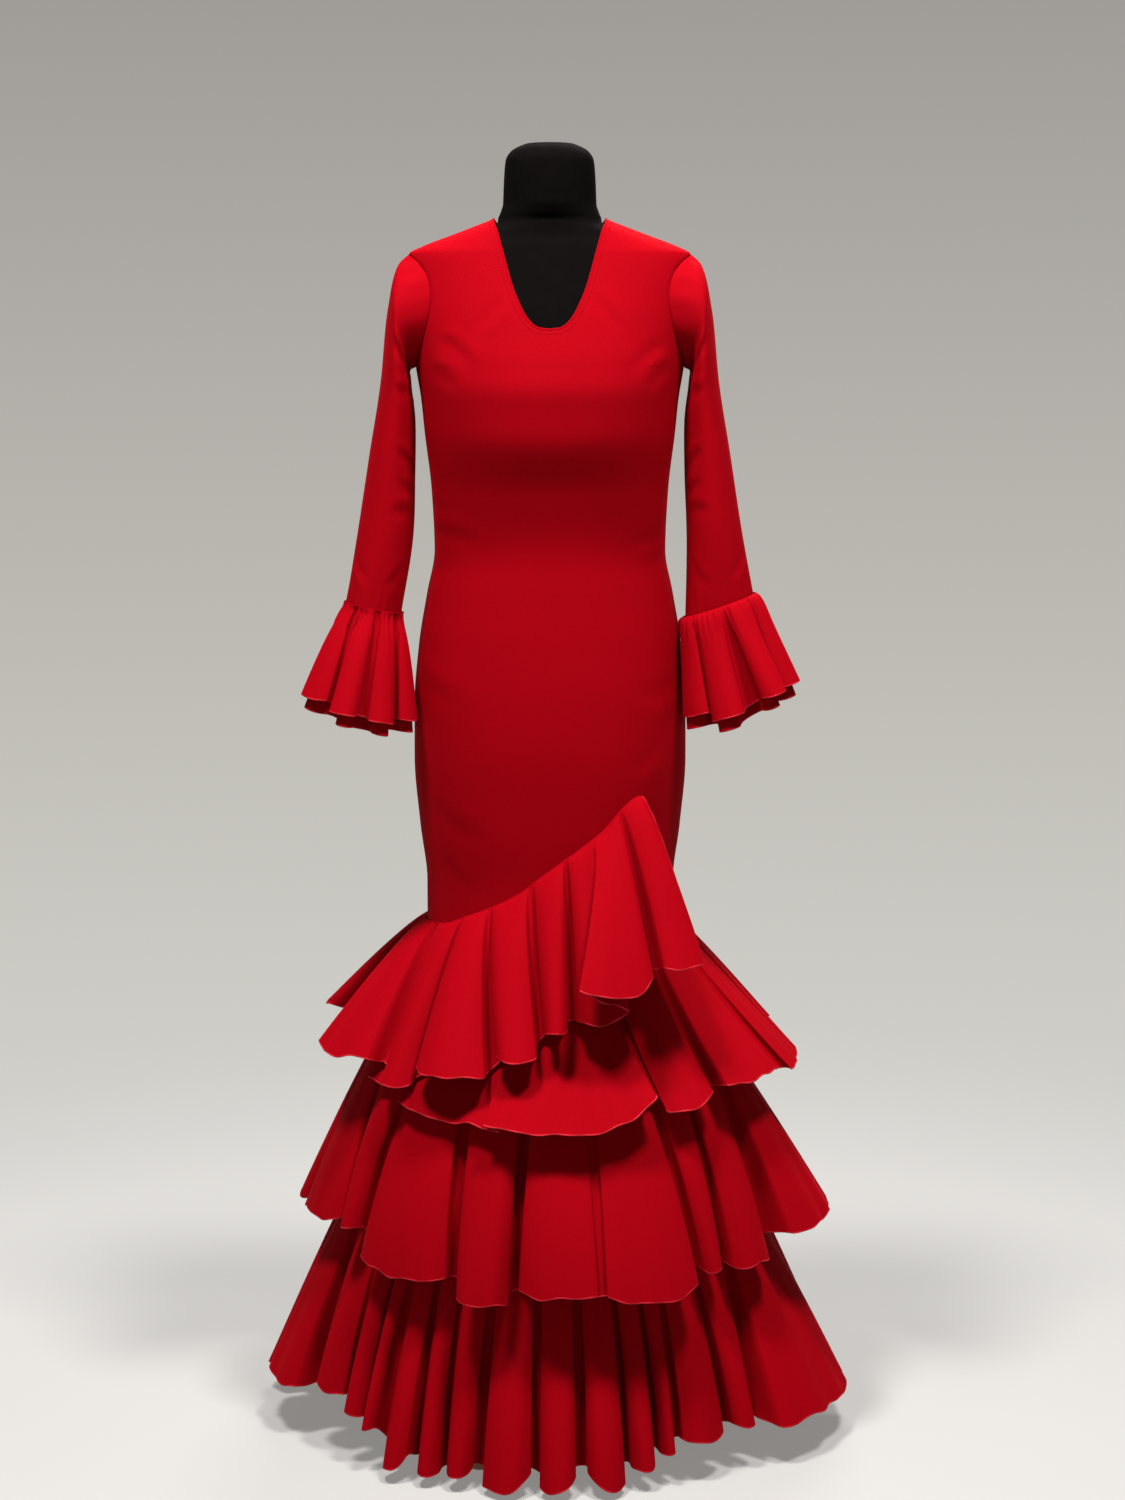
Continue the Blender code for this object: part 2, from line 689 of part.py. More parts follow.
def make_skirt_flounce(name, folds, seam, gather, crepe, ends=None, bow=0.0):
    closed = ends is None
    start, end = (0, 0) if closed else ends
    points = fold_points(folds, closed, start, end)
    rows = flounce_rows(points, skirt_seam(seam), polar, (0, 0.4, 1), gather, bow)
    pairs = thick_grid(rows, closed)
    # Where it is sewn on, the wall lies flat on the dress.
    pairs[0] = [
        (outer, outer - CLOTH * body_normal(point.seam_deg, outer.z)) for point, outer in zip(points, rows[0])
    ]
    wall(name, [pairs], crepe)


def make_flounces(crepe):
    side_gap = degrees(SEAM_GAP / SIDE_RADIUS)
    top = plain_folds(-270, -100, 9, 0.300, 0.452, 0.030)
    top[0] = top[0]._replace(left_deg=-270 + side_gap, radius=0.292, hem_z=0.440)
    top[-1] = top[-1]._replace(radius=0.293, hem_z=0.482)
    make_skirt_flounce("flounce_top", top + TOP_FOLDS, TOP_SEAM, 1.15, crepe, (-270 + side_gap, 48))
    make_skirt_flounce("flounce_second", SECOND_FOLDS, SECOND_SEAM, 1.15, crepe, (-62, 90 - side_gap))
    third = THIRD_FOLDS + plain_folds(96, 265, 11, 0.322, 0.246, 0.034)
    make_skirt_flounce("flounce_third", third, CIRCLE_SEAM_Z, 0.85, crepe, bow=THIRD_BOW)
    bottom = BOTTOM_FOLDS + plain_folds(87, 272, 14, 0.350, 0.030, 0.044)
    make_skirt_flounce("flounce_bottom", bottom, HEM_SEAM_Z, 0.7, crepe, bow=BOTTOM_BOW)


def mixed_ring(first, second, part):
    return SleeveRing(*[a + (b - a) * part for a, b in zip(first, second)])


def under_layer(folds):
    """The same folds for a layer that lies inside them."""
    return [
        fold._replace(
            left_deg=fold.left_deg + CUFF_LAYER_DEG,
            right_deg=fold.right_deg - CUFF_LAYER_DEG,
            radius=fold.radius - CUFF_LAYER_STEP,
            valley=fold.valley + CUFF_LAYER_DIP,
        )
        for fold in folds
    ]


def make_cuff(name, arm, folds, under, crepe):
    """One layer of a cuff, a gathered flounce round the wrist. Its angles turn away from the body."""
    drop = CUFF_LAYER_DROP if under else 0.0
    out = 0.0 if under else CUFF_EASE + CLOTH
    up = CUFF_OVERLAP / (UPPER_SLEEVE[-1].outer_z - arm.wrist.outer_z)
    ring = arm.wrist if under else mixed_ring(arm.wrist, UPPER_SLEEVE[-1], up)
    outer = Vector((arm.side * ring.outer_x, 0, ring.outer_z))
    inner = Vector((arm.side * ring.inner_x, 0, ring.inner_z))
    along = (outer - inner).normalized()
    down = along.cross(Vector((0, arm.side, 0))).normalized()
    down = down if down.z < 0 else -down
    half_width = (outer - inner).length / 2 + out
    half_depth = ring.half_depth + out
    start = (outer + inner) / 2 - Vector((0, ring.forward, 0)) + down * (3 * SEAM_GAP if under else 0.0)

    def seam_point(deg):
        angle = radians(deg)
        return start + along * half_width * sin(angle) + Vector((0, -half_depth * cos(angle), 0))

    def hem_point(deg, radius, lift):
        angle = radians(deg)
        x = arm.cuff_x + radius * sin(angle)
        slope = (arm.outer_hem_z - arm.inner_hem_z) / CUFF_WIDTH
        z = (arm.outer_hem_z + arm.inner_hem_z) / 2 + slope * radius * sin(angle) - drop + lift
        return Vector((arm.side * x, -CUFF_FORWARD - radius * cos(angle), z))

    points = fold_points(under_layer(folds) if under else folds, True, 0, 0)
    rows = flounce_rows(points, seam_point, hem_point, (0, 1), 1.0)
    if arm.side < 0:
        rows = [row[::-1] for row in rows]
    wall(name, [thick_grid(rows, True)], crepe)


def make_arms(crepe):
    for side, arm in ARMS.items():
        make_sleeve(f"sleeve_{side}", arm, crepe)
        make_cuff(f"cuff_{side}_top", arm, CUFF_FOLDS[side], False, crepe)
        make_cuff(f"cuff_{side}_under", arm, CUFF_FOLDS[side], True, crepe)


# ---------------------------------------------------------------- dress form and its stand


def make_form(jersey):
    columns = FORM_COLUMNS
    heights = [FORM_BOTTOM_Z, 0.87, 0.94, 1.00, 1.05, 1.12, 1.18, 1.23]
    heights += [1.2665, 1.300, 1.330, 1.360, 1.3835, 1.3985, 1.408, 1.420, 1.431, 1.440]
    rings = []
    for z in heights:
        ease = NECK_EASE if z > 1.415 else SHOULDER_EASE if z > 1.25 else FORM_EASE
        turns = [polar_turn(360 * i / columns, z) for i in range(columns)]
        rings.append([body_point(deg, z, -CLOTH - ease) for deg in turns])
    for ring in FORM_NECK:
        rings.append([polar(360 * i / columns, ring.radius, ring.z) for i in range(columns)])
    loft("form_body", rings, jersey)


def foot_outline(inset):
    """Three round-ended legs round a hub, that far inside the foot's full outline."""
    outline = []
    tip_radius = FOOT_LEG_WIDTH / 2
    for leg in range(3):
        middle = FOOT_FIRST_LEG_DEG + 120 * leg
        forward = polar(middle, 1, 0)
        across = polar(middle + 90, 1, 0)
        tip_middle = forward * (FOOT_LEG_LENGTH - tip_radius)
        outline.append(polar(middle - FOOT_ROOT_DEG, FOOT_HUB_RADIUS - inset, 0))
        for step in range(FOOT_TIP_STEPS + 1):
            angle = pi * step / FOOT_TIP_STEPS
            turn = forward * sin(angle) - across * cos(angle)
            outline.append(tip_middle + turn * (tip_radius - inset))
        outline.append(polar(middle + FOOT_ROOT_DEG, FOOT_HUB_RADIUS - inset, 0))
        outline.append(polar(middle + 60, FOOT_HUB_RADIUS - inset, 0))
    return outline


def make_stand(steel, wood):
    pole_bottom = FOOT_HEIGHT + SEAM_GAP
    pole_top = FORM_BOTTOM_Z - SEAM_GAP
    maker = bmesh.new()
    bmesh.ops.create_cone(
        maker,
        cap_ends=True,
        segments=20,
        radius1=POLE_RADIUS,
        radius2=POLE_RADIUS,
        depth=pole_top - pole_bottom,
        matrix=Matrix.Translation((0, 0, (pole_top + pole_bottom) / 2)),
    )
    add_object("stand_pole", maker, steel)

    rings = []
    for z, inset in ((0.0, 0.0), (FOOT_HEIGHT - FOOT_BEVEL, 0.0), (FOOT_HEIGHT, FOOT_BEVEL)):
        rings.append([Vector((p.x, p.y, z)) for p in foot_outline(inset)])
    loft("stand_foot", rings, wood)


# ---------------------------------------------------------------- zip


def make_zip_strip(crepe):
    half_deg = degrees(ZIP_WIDTH / 2 / BACK_RADIUS)
    heights = [z for z in panel_heights() if ZIP_BOTTOM_Z < z < ZIP_TOP_Z - ZIP_WIDTH]
    heights = [ZIP_BOTTOM_Z, *heights, ZIP_TOP_Z]
    rows = []
    for z in heights:
        row = []
        for deg in (180 - half_deg, 180 + half_deg):
            normal = body_normal(180, z)
            foot = body_point(deg, z) + SEAM_GAP * normal
            row.append((foot + ZIP_HEIGHT * normal, foot))
        rows.append(row)
    wall("zip_strip", [rows], crepe)


def slider_frame():
    """The slider's middle on the strip, with axes across, out of the dress and up along it."""
    normal = body_normal(180, SLIDER_Z)
    up = Vector((1, 0, 0)).cross(normal).normalized()
    up = up if up.z > 0 else -up
    base = body_point(180, SLIDER_Z) + normal * (3 * SEAM_GAP + ZIP_HEIGHT)
    return base, normal, up


def box_between(maker, frame, low, high):
    """A box given by its two corners as (across, out, up) in the slider's frame."""
    base, normal, up = frame
    size = [b - a for a, b in zip(low, high)]
    middle = [(a + b) / 2 for a, b in zip(low, high)]
    axes = Matrix((Vector((1, 0, 0)), normal, up)).transposed().to_4x4()
    place = Matrix.Translation(base + axes.to_3x3() @ Vector(middle)) @ axes
    bmesh.ops.create_cube(maker, size=1, matrix=place @ Matrix.Diagonal((*size, 1)))


def cylinder_across(maker, frame, out, along_up, radius, length):
    base, normal, up = frame
    place = Matrix.Translation(base + normal * out + up * along_up) @ Matrix.Rotation(pi / 2, 4, "Y")
    bmesh.ops.create_cone(
        maker, cap_ends=True, segments=16, radius1=radius, radius2=radius, depth=length, matrix=place
    )


def combine(target, tool, operation):
    step = target.modifiers.new(tool.name, "BOOLEAN")
    step.operation = operation
    step.object = tool
    tool.hide_render = True
    tool.display_type = "WIRE"
    return target


def make_slider_and_pull(metal):
    frame = slider_frame()
    pin_out = SLIDER_HEIGHT + PULL_GAP + EYE_RADIUS
    pin_up = SLIDER_LENGTH / 2 - PIN_FROM_TOP
    half = SLIDER_WIDTH / 2

    maker = bmesh.new()
    box_between(maker, frame, (-half, 0, -SLIDER_LENGTH / 2), (half, SLIDER_HEIGHT, SLIDER_LENGTH / 2))
    slider = add_object("zip_slider", maker, metal)
    for side in (-1, 1):
        maker = bmesh.new()
        across = sorted((side * (half - EAR_WIDTH), side * (half - SINK)))
        box_between(
            maker,
            frame,
            (across[0], SLIDER_HEIGHT / 2, pin_up - EAR_LENGTH / 2),
            (across[1], pin_out + EAR_RISE, pin_up + EAR_LENGTH / 2),
        )
        combine(slider, add_object(f"ear_{side}", maker, metal), "UNION")
    maker = bmesh.new()
    cylinder_across(maker, frame, pin_out, pin_up, PIN_RADIUS, SLIDER_WIDTH - EAR_WIDTH)
    combine(slider, add_object("pin", maker, metal), "UNION")

    pull_half = half - EAR_WIDTH - PULL_GAP
    maker = bmesh.new()
    cylinder_across(maker, frame, pin_out, pin_up, EYE_RADIUS, 2 * pull_half)
    pull = add_object("zip_pull", maker, metal)
    maker = bmesh.new()
    box_between(
        maker,
        frame,
        (-pull_half + SINK, pin_out - PULL_THICKNESS / 2, pin_up - PULL_LENGTH),
        (pull_half - SINK, pin_out + PULL_THICKNESS / 2, pin_up - PIN_RADIUS - 2 * PULL_GAP),
    )
    combine(pull, add_object("pull_plate", maker, metal), "UNION")
    maker = bmesh.new()
    cylinder_across(maker, frame, pin_out, pin_up, PIN_RADIUS + PULL_GAP, SLIDER_WIDTH)
    combine(pull, add_object("eye", maker, metal), "DIFFERENCE")


# ---------------------------------------------------------------- the whole part


def main():
    for old in list(bpy.data.objects):
        bpy.data.objects.remove(old)
    crepe = material("red crepe", "#A8071C", 0.75)
    jersey = material("black jersey over foam", "#0E0C0A", 0.9)
    wood = material("turned beech", "#9A6B45", 0.5)
    steel = material("black painted steel tube", "#16140F", 0.4, 0.6)
    red_metal = material("red lacquered zinc", "#9C0A1A", 0.35, 0.3)
    make_panels(crepe)
    make_underskirt(crepe)
    make_arms(crepe)
    make_flounces(crepe)
    make_form(jersey)
    make_stand(steel, wood)
    make_zip_strip(crepe)
    make_slider_and_pull(red_metal)


main()
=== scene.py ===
"""A long red crepe flamenco dress on a black dress form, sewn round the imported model.

Metres, +Z up. The form's pole stands on the Z axis and the dress faces -Y. Angles round the body are
in degrees: 0 is the front, 90 is +X, 180 is the back.
"""

from collections import namedtuple
from math import degrees, pi, radians

import bmesh
import bpy
import numpy as np
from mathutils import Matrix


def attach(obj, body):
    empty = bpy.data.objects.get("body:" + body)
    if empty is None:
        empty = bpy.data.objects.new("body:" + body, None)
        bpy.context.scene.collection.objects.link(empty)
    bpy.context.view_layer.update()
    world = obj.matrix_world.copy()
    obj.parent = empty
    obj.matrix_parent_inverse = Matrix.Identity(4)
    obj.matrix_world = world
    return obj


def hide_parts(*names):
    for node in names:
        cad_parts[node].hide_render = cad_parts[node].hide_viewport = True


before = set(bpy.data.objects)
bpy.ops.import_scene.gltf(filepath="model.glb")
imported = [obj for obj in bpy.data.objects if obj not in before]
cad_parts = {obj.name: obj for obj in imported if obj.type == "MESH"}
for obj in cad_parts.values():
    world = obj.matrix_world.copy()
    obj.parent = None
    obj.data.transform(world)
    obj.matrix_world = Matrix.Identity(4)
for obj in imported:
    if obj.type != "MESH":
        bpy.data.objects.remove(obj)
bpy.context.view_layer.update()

MM = 0.001
DRESS = "dress_on_form"
PULL = "pull_tab"

# ---------------------------------------------------------------- the cut, as the solids have it

CLOTH = 0.0020  # the solids' wall
WALL = 1.3 * MM  # the crepe with its turned-in edges
SEAM_GAP = 0.0003
SIDE_RADIUS = 0.15
BACK_RADIUS = 0.10
SHEATH_HEM_Z = 0.590
UNDERSKIRT_HEM_Z = 0.268
FORM_BOTTOM_Z = 0.790
ROUNDNESS = 2.15
ARMHOLE_MID_Z = 1.3325
ARMHOLE_HALF_HEIGHT = 0.0660
ARMHOLE_HALF_DEG = 21.0

Section = namedtuple("Section", "z half_width front back")
BODY = [
    Section(0.220, 0.2434, 0.2378, 0.2434),
    Section(0.360, 0.2204, 0.2134, 0.2204),
    Section(0.460, 0.204, 0.196, 0.204),
    Section(0.500, 0.184, 0.172, 0.182),
    Section(0.540, 0.164, 0.147, 0.158),
    Section(0.560, 0.157, 0.136, 0.148),
    Section(0.590, 0.151, 0.126, 0.139),
    Section(0.615, 0.149, 0.122, 0.136),
    Section(0.650, 0.149, 0.121, 0.135),
    Section(0.720, 0.157, 0.123, 0.141),
    Section(0.800, 0.1635, 0.124, 0.149),
    Section(0.870, 0.1630, 0.121, 0.143),
    Section(0.940, 0.157, 0.114, 0.122),
    Section(1.000, 0.147, 0.107, 0.104),
    Section(1.050, 0.138, 0.103, 0.096),
    Section(1.120, 0.141, 0.111, 0.098),
    Section(1.190, 0.149, 0.126, 0.104),
    Section(1.230, 0.153, 0.126, 0.108),
    Section(1.2665, 0.159, 0.117, 0.110),
    Section(1.300, 0.163, 0.105, 0.109),
    Section(1.330, 0.166, 0.094, 0.106),
    Section(1.360, 0.168, 0.082, 0.098),
    Section(1.388, 0.169, 0.071, 0.085),
    Section(1.3985, 0.167, 0.067, 0.078),
    Section(1.408, 0.149, 0.0635, 0.072),
    Section(1.420, 0.117, 0.0605, 0.066),
    Section(1.431, 0.088, 0.0590, 0.0615),
    Section(1.440, 0.067, 0.0580, 0.0585),
    Section(1.455, 0.0585, 0.0570, 0.0570),
    Section(1.490, 0.0565, 0.0565, 0.0565),
]

NeckPoint = namedtuple("NeckPoint", "z half_width")
FRONT_NECKLINE = [
    NeckPoint(1.3075, 0.000),
    NeckPoint(1.3095, 0.013),
    NeckPoint(1.3190, 0.025),
    NeckPoint(1.3325, 0.033),
    NeckPoint(1.3560, 0.043),
    NeckPoint(1.3985, 0.055),
    NeckPoint(1.4200, 0.061),
    NeckPoint(1.4400, 0.067),
]
BACK_NECKLINE = [
    NeckPoint(1.4180, 0.000),
    NeckPoint(1.4200, 0.020),
    NeckPoint(1.4280, 0.044),
    NeckPoint(1.4400, 0.067),
]

SleeveRing = namedtuple("SleeveRing", "outer_x outer_z inner_x inner_z half_depth forward")
UPPER_SLEEVE = [
    SleeveRing(0.1805, 1.3830, 0.1660, 1.2620, 0.0600, 0.000),
    SleeveRing(0.1915, 1.3350, 0.1645, 1.2420, 0.0610, 0.001),
    SleeveRing(0.2005, 1.2500, 0.1600, 1.2050, 0.0580, 0.004),
    SleeveRing(0.2140, 1.1650, 0.1600, 1.1420, 0.0520, 0.012),
    SleeveRing(0.2270, 1.0800, 0.1625, 1.0650, 0.0450, 0.022),
]
Arm = namedtuple("Arm", "side wrist cuff_x outer_hem_z inner_hem_z")
ARMS = {
    "left": Arm(-1, SleeveRing(0.242, 0.987, 0.177, 0.974, 0.036, 0.034), 0.232, 0.874, 0.845),
    "right": Arm(1, SleeveRing(0.242, 0.997, 0.161, 0.969, 0.034, 0.034), 0.236, 0.893, 0.848),
}

# A fold is one outward wave of a flounce: where its middle is sewn on, its two sides at the hem, its
# crest's distance from the Z axis, the height of its hem, the depth of the dip after it, and how much
# higher its hem is at its left and right side.
FOLD_FIELDS = "seam_deg left_deg right_deg radius hem_z valley left_rise right_rise"
Fold = namedtuple("Fold", FOLD_FIELDS, defaults=(0.0, 0.0))
RISE_ROUNDNESS = 2.5
TOP_FOLDS = [
    Fold(-78, -95, -54, 0.284, 0.462, 0.012),
    Fold(-53, -51, -40.5, 0.268, 0.440, 0.016),
    Fold(-41, -37.8, -16.7, 0.272, 0.463, 0.024, 0.004),
    Fold(-23, -15, -3.2, 0.260, 0.484, 0.022, 0.0, 0.004),
    Fold(2, -1.6, 5.3, 0.247, 0.512, 0.010, 0.0, 0.004),
    Fold(15, 8.4, 22, 0.238, 0.521, 0.014, 0.0, 0.018),
    Fold(30, 7, 30, 0.262, 0.558, 0.014, 0.006, 0.013),
    Fold(43, 31.5, 46, 0.267, 0.583, 0.060, 0.0, 0.010),
]
SECOND_FOLDS = [
    Fold(-50, -60, -46.5, 0.248, 0.436, 0.010),
    Fold(-30, -44.5, -11.6, 0.262, 0.411, 0.010, 0.012, -0.009),
    Fold(5, -16.5, 27.6, 0.283, 0.405, 0.022, 0.014, 0.040),
    Fold(42, 31, 46, 0.274, 0.421, 0.020, 0.0, 0.012),
    Fold(61, 48, 71, 0.287, 0.439, 0.004),
    Fold(81, 73, 90, 0.302, 0.436, 0.0),
]
THIRD_FOLDS = [
    Fold(-75, -92, -59, 0.302, 0.260, 0.026, -0.014, 0.012),
    Fold(-54, -57, -51, 0.300, 0.268, 0.020),
    Fold(-38, -48.5, -23, 0.310, 0.233, 0.024, 0.008, 0.003),
    Fold(-15, -20, -8.7, 0.326, 0.216, 0.055, 0.010),
    Fold(3, -6.8, 10, 0.327, 0.229, 0.009, 0.004, 0.004),
    Fold(21, 11.2, 33, 0.332, 0.219, 0.024, 0.012, 0.014),
    Fold(39, 36, 42, 0.312, 0.238, 0.022),
    Fold(50, 44, 57, 0.320, 0.234, 0.030),
    Fold(75, 59, 93, 0.345, 0.258, 0.034),
]
BOTTOM_FOLDS = [
    Fold(-74, -86, -64, 0.350, 0.062, 0.038),
    Fold(-55, -62, -50, 0.325, 0.075, 0.032),
    Fold(-46, -48, -43, 0.330, 0.062, 0.030),
    Fold(-39, -41.2, -38.4, 0.334, 0.052, 0.030),
    Fold(-33, -35.4, -29.5, 0.345, 0.016, 0.040, 0.0, 0.016),
    Fold(-26, -28, -23, 0.336, 0.017, 0.040),
    Fold(-19, -21.5, -16, 0.337, 0.019, 0.044, 0.0, 0.008),
    Fold(-8, -13.5, -3.5, 0.345, 0.010, 0.044, 0.0, 0.020),
    Fold(2, -2, 5.5, 0.345, 0.012, 0.044, 0.0, 0.013),
    Fold(12, 7.5, 15.5, 0.345, 0.011, 0.040, 0.016, 0.004),
    Fold(19, 17, 22, 0.336, 0.026, 0.034, 0.0, 0.010),
    Fold(25, 23.5, 26.5, 0.332, 0.038, 0.030),
    Fold(33, 28, 39, 0.337, 0.045, 0.040, 0.010, 0.004),
    Fold(43, 40.5, 46, 0.340, 0.054, 0.036),
    Fold(64, 48, 84, 0.374, 0.050, 0.044),
]
# How far a flounce bows out in front, halfway down, and the least dip between two of its folds.
SECOND_BOW = -0.012
THIRD_BOW = 0.012
BOTTOM_BOW = 0.008
TOP_DIP = 0.046
SECOND_DIP = 0.032
THIRD_DIP = 0.036
CUFF_DIP = 0.021
TOP_ENDS = (-270, 48)  # where the top and second flounces start and end
SECOND_ENDS = (-62, 90)
# On a cuff the angles turn about the cuff's own middle, and the height is above its slanting hem.
CUFF_FOLDS = {
    "left": [
        Fold(7, -7, 21, 0.079, 0.005, 0.020),
        Fold(57, 27, 84, 0.068, 0.013, 0.026),
        Fold(110, 92, 131, 0.064, 0.010, 0.020),
        Fold(156, 138, 176, 0.068, 0.006, 0.020),
        Fold(199, 183, 217, 0.071, 0.003, 0.020),
        Fold(243, 224, 262, 0.073, 0.004, 0.022),
        Fold(288, 275, 307, 0.079, 0.008, 0.024),
        Fold(328, 313, 343, 0.078, 0.002, 0.026),
    ],
    "right": [
        Fold(-66, -90, -43, 0.082, 0.010, 0.018),
        Fold(-24, -40, -7, 0.080, -0.001, 0.034),
        Fold(24, 9, 37, 0.076, 0.009, 0.024),
        Fold(64, 43, 86, 0.063, 0.012, 0.022),
        Fold(111, 92, 131, 0.062, 0.010, 0.020),
        Fold(155, 138, 174, 0.068, 0.006, 0.020),
        Fold(200, 181, 219, 0.073, 0.002, 0.022),
        Fold(242, 226, 260, 0.075, 0.005, 0.022),
    ],
}
CUFF_LAYER_STEP = 0.004  # at its hem the under layer lies this far inside the top one's hem
CUFF_LAYER_DEG = 5.0  # its folds are narrower by this at each side
CUFF_LAYER_DIP = 0.004  # and its dips deeper by this
CUFF_LAYER_DROP = 0.015  # and it hangs this much lower
CUFF_WIDTH = 0.150
CUFF_FORWARD = 0.050
CUFF_EASE = 0.0010
CUFF_OVERLAP = 0.003

FOLD_ACROSS = (0.0, 0.03, 0.1, 0.22, 0.38, 0.62, 0.78, 0.9, 0.97, 1.0)
FOLD_EDGE = 0.42  # how deep a fold's sides lie, of the dip beside it
FOLD_LAP = 0.7  # the same, of the step down to a fold that it laps over or under
FOLD_ROUNDNESS = 2.6  # exponent from the crest to the sides
PLAIN_GAP = 0.11  # the gap between two even folds, of their width
PLAIN_SHIFT = 0.10  # how far their sides stray, of their width
PLAIN_WAVE = 0.006  # and their crests and hems
VALLEY_FLOOR = (0.28, 0.72)  # where the valley's floor is sewn on
UNDERCUT = 0.009  # how far a valley's floor runs on behind the folds beside it
UNDERCUT_SHARE = 0.16  # and no more than this part of a fold's width
FOLD_SEAM_SHARE = 0.8  # the part of the seam that a fold takes up, the rest is the dips'

SeamPoint = namedtuple("SeamPoint", "deg z")
TOP_SEAM = [
    SeamPoint(-272, 0.604),
    SeamPoint(-90, 0.604),
    SeamPoint(-62, 0.608),
    SeamPoint(-43, 0.624),
    SeamPoint(-20, 0.648),
    SeamPoint(-5, 0.672),
    SeamPoint(26, 0.722),
    SeamPoint(48, 0.766),
]
SECOND_SEAM = [SeamPoint(-64, 0.560), SeamPoint(0, 0.572), SeamPoint(90, 0.600)]
THIRD_SEAM = [SeamPoint(-360, 0.460), SeamPoint(360, 0.460)]
BOTTOM_SEAM = [SeamPoint(-360, 0.280), SeamPoint(360, 0.280)]

# How far the form lies inside the cloth, at each height.
FORM_EASE = (
    (0.79, 0.0018),
    (1.23, 0.0018),
    (1.27, 0.0028),
    (1.408, 0.0028),
    (1.42, 0.0060),
    (1.44, 0.0060),
)
NeckRing = namedtuple("NeckRing", "z radius")
FORM_NECK = [
    NeckRing(1.455, 0.0553),
    NeckRing(1.485, 0.0540),
    NeckRing(1.507, 0.0520),
    NeckRing(1.519, 0.0440),
    NeckRing(1.526, 0.0290),
]

FOOT_HEIGHT = 0.024
FOOT_LEG_LENGTH = 0.262
FOOT_LEG_WIDTH = 0.030
FOOT_HUB_RADIUS = 0.045
FOOT_FIRST_LEG_DEG = -19.0
FOOT_ROOT_DEG = 31.0
FOOT_ROUNDING = 0.004

ZIP_WIDTH = 0.0050
ZIP_TOP_Z = 1.412
ZIP_BOTTOM_Z = 0.880

# ---------------------------------------------------------------- creases

# A soft trough with a lower ridge beside it, from one point to another. On the body across is the
# angle and up the height. Width and depth are in millimetres, and bow is how far its middle strays.
Crease = namedtuple("Crease", "across0 up0 across1 up1 width depth bow")
FRONT_CREASES = [
    Crease(88, 1.078, 46, 1.058, 7, 1.1, 4),
    Crease(87, 1.042, 58, 1.030, 6, 0.8, -3),
    Crease(-88, 1.070, -40, 1.060, 8, 1.2, 5),
    Crease(-86, 1.030, -55, 1.036, 6, 0.8, -4),
    Crease(-84, 1.104, -62, 1.094, 6, 0.7, 3),
    Crease(84, 1.112, 64, 1.100, 6, 0.7, -3),
    Crease(66, 1.296, 40, 1.250, 8, 1.3, -5),
    Crease(68, 1.268, 50, 1.232, 7, 0.9, -4),
    Crease(-65, 1.300, -38, 1.256, 8, 1.2, 5),
    Crease(-68, 1.266, -46, 1.236, 7, 1.0, 3),
    Crease(30, 1.350, 42, 1.300, 9, 0.8, 3),
    Crease(-31, 1.346, -44, 1.300, 9, 0.8, -3),
    Crease(84, 0.905, 40, 0.880, 12, 0.7, 6),
    Crease(-86, 0.915, -44, 0.870, 12, 0.8, -6),
    Crease(-72, 0.760, -30, 0.705, 12, 0.7, -5),
    Crease(-64, 0.690, -44, 0.650, 8, 0.7, 3),
    Crease(60, 0.830, 40, 0.790, 9, 0.8, 3),
]
BACK_CREASES = [
    Crease(176, 1.072, 118, 1.056, 9, 2.0, 6),
    Crease(172, 1.040, 132, 1.030, 7, 1.4, -4),
    Crease(176, 1.104, 138, 1.110, 8, 1.4, 5),
    Crease(168, 1.008, 124, 0.998, 9, 1.2, 5),
    Crease(184, 1.068, 238, 1.050, 9, 1.9, 6),
    Crease(188, 1.034, 226, 1.028, 7, 1.3, -4),
    Crease(184, 1.100, 228, 1.114, 8, 1.3, 5),
    Crease(190, 1.004, 236, 0.994, 9, 1.1, -5),
    Crease(112, 1.300, 140, 1.270, 9, 1.3, 5),
    Crease(114, 1.340, 138, 1.330, 9, 0.9, -4),
    Crease(248, 1.296, 222, 1.268, 9, 1.2, -5),
    Crease(246, 1.344, 224, 1.330, 9, 0.9, 4),
    Crease(100, 0.800, 150, 0.752, 12, 1.0, 6),
    Crease(110, 0.726, 150, 0.700, 10, 0.9, -5),
    Crease(258, 0.806, 212, 0.748, 12, 1.0, -6),
    Crease(250, 0.720, 214, 0.700, 10, 0.9, 5),
]
# On a sleeve across is the angle round the arm, 0 outside, 90 in front and 180 at the body, and up
# is how far down the sleeve, as a share of its length.
SLEEVE_CREASES = [
    Crease(150, 0.14, 62, 0.25, 8, 1.8, 5),
    Crease(158, 0.22, 84, 0.35, 7, 1.4, -4),
    Crease(212, 0.14, 296, 0.27, 8, 1.8, -5),
    Crease(204, 0.23, 272, 0.36, 7, 1.4, 4),
    Crease(168, 0.56, 98, 0.51, 7, 1.5, 4),
    Crease(172, 0.62, 110, 0.60, 6, 1.2, -3),
    Crease(166, 0.69, 92, 0.71, 7, 1.2, 4),
    Crease(196, 0.58, 244, 0.54, 7, 1.0, -4),
    Crease(194, 0.67, 250, 0.70, 7, 1.0, 3),
    Crease(20, 0.84, 78, 0.92, 6, 0.9, 3),
    Crease(150, 0.83, 104, 0.93, 6, 0.9, -3),
    Crease(330, 0.82, 286, 0.92, 6, 0.9, 3),
]

# ---------------------------------------------------------------- reading the tables


def cubic(value, rise, start, end, t):
    """A smooth step up from a value, with its slopes at the start and at the end."""
    return value + t * start + t**2 * (3 * rise - 2 * start - end) + t**3 * (start + end - 2 * rise)


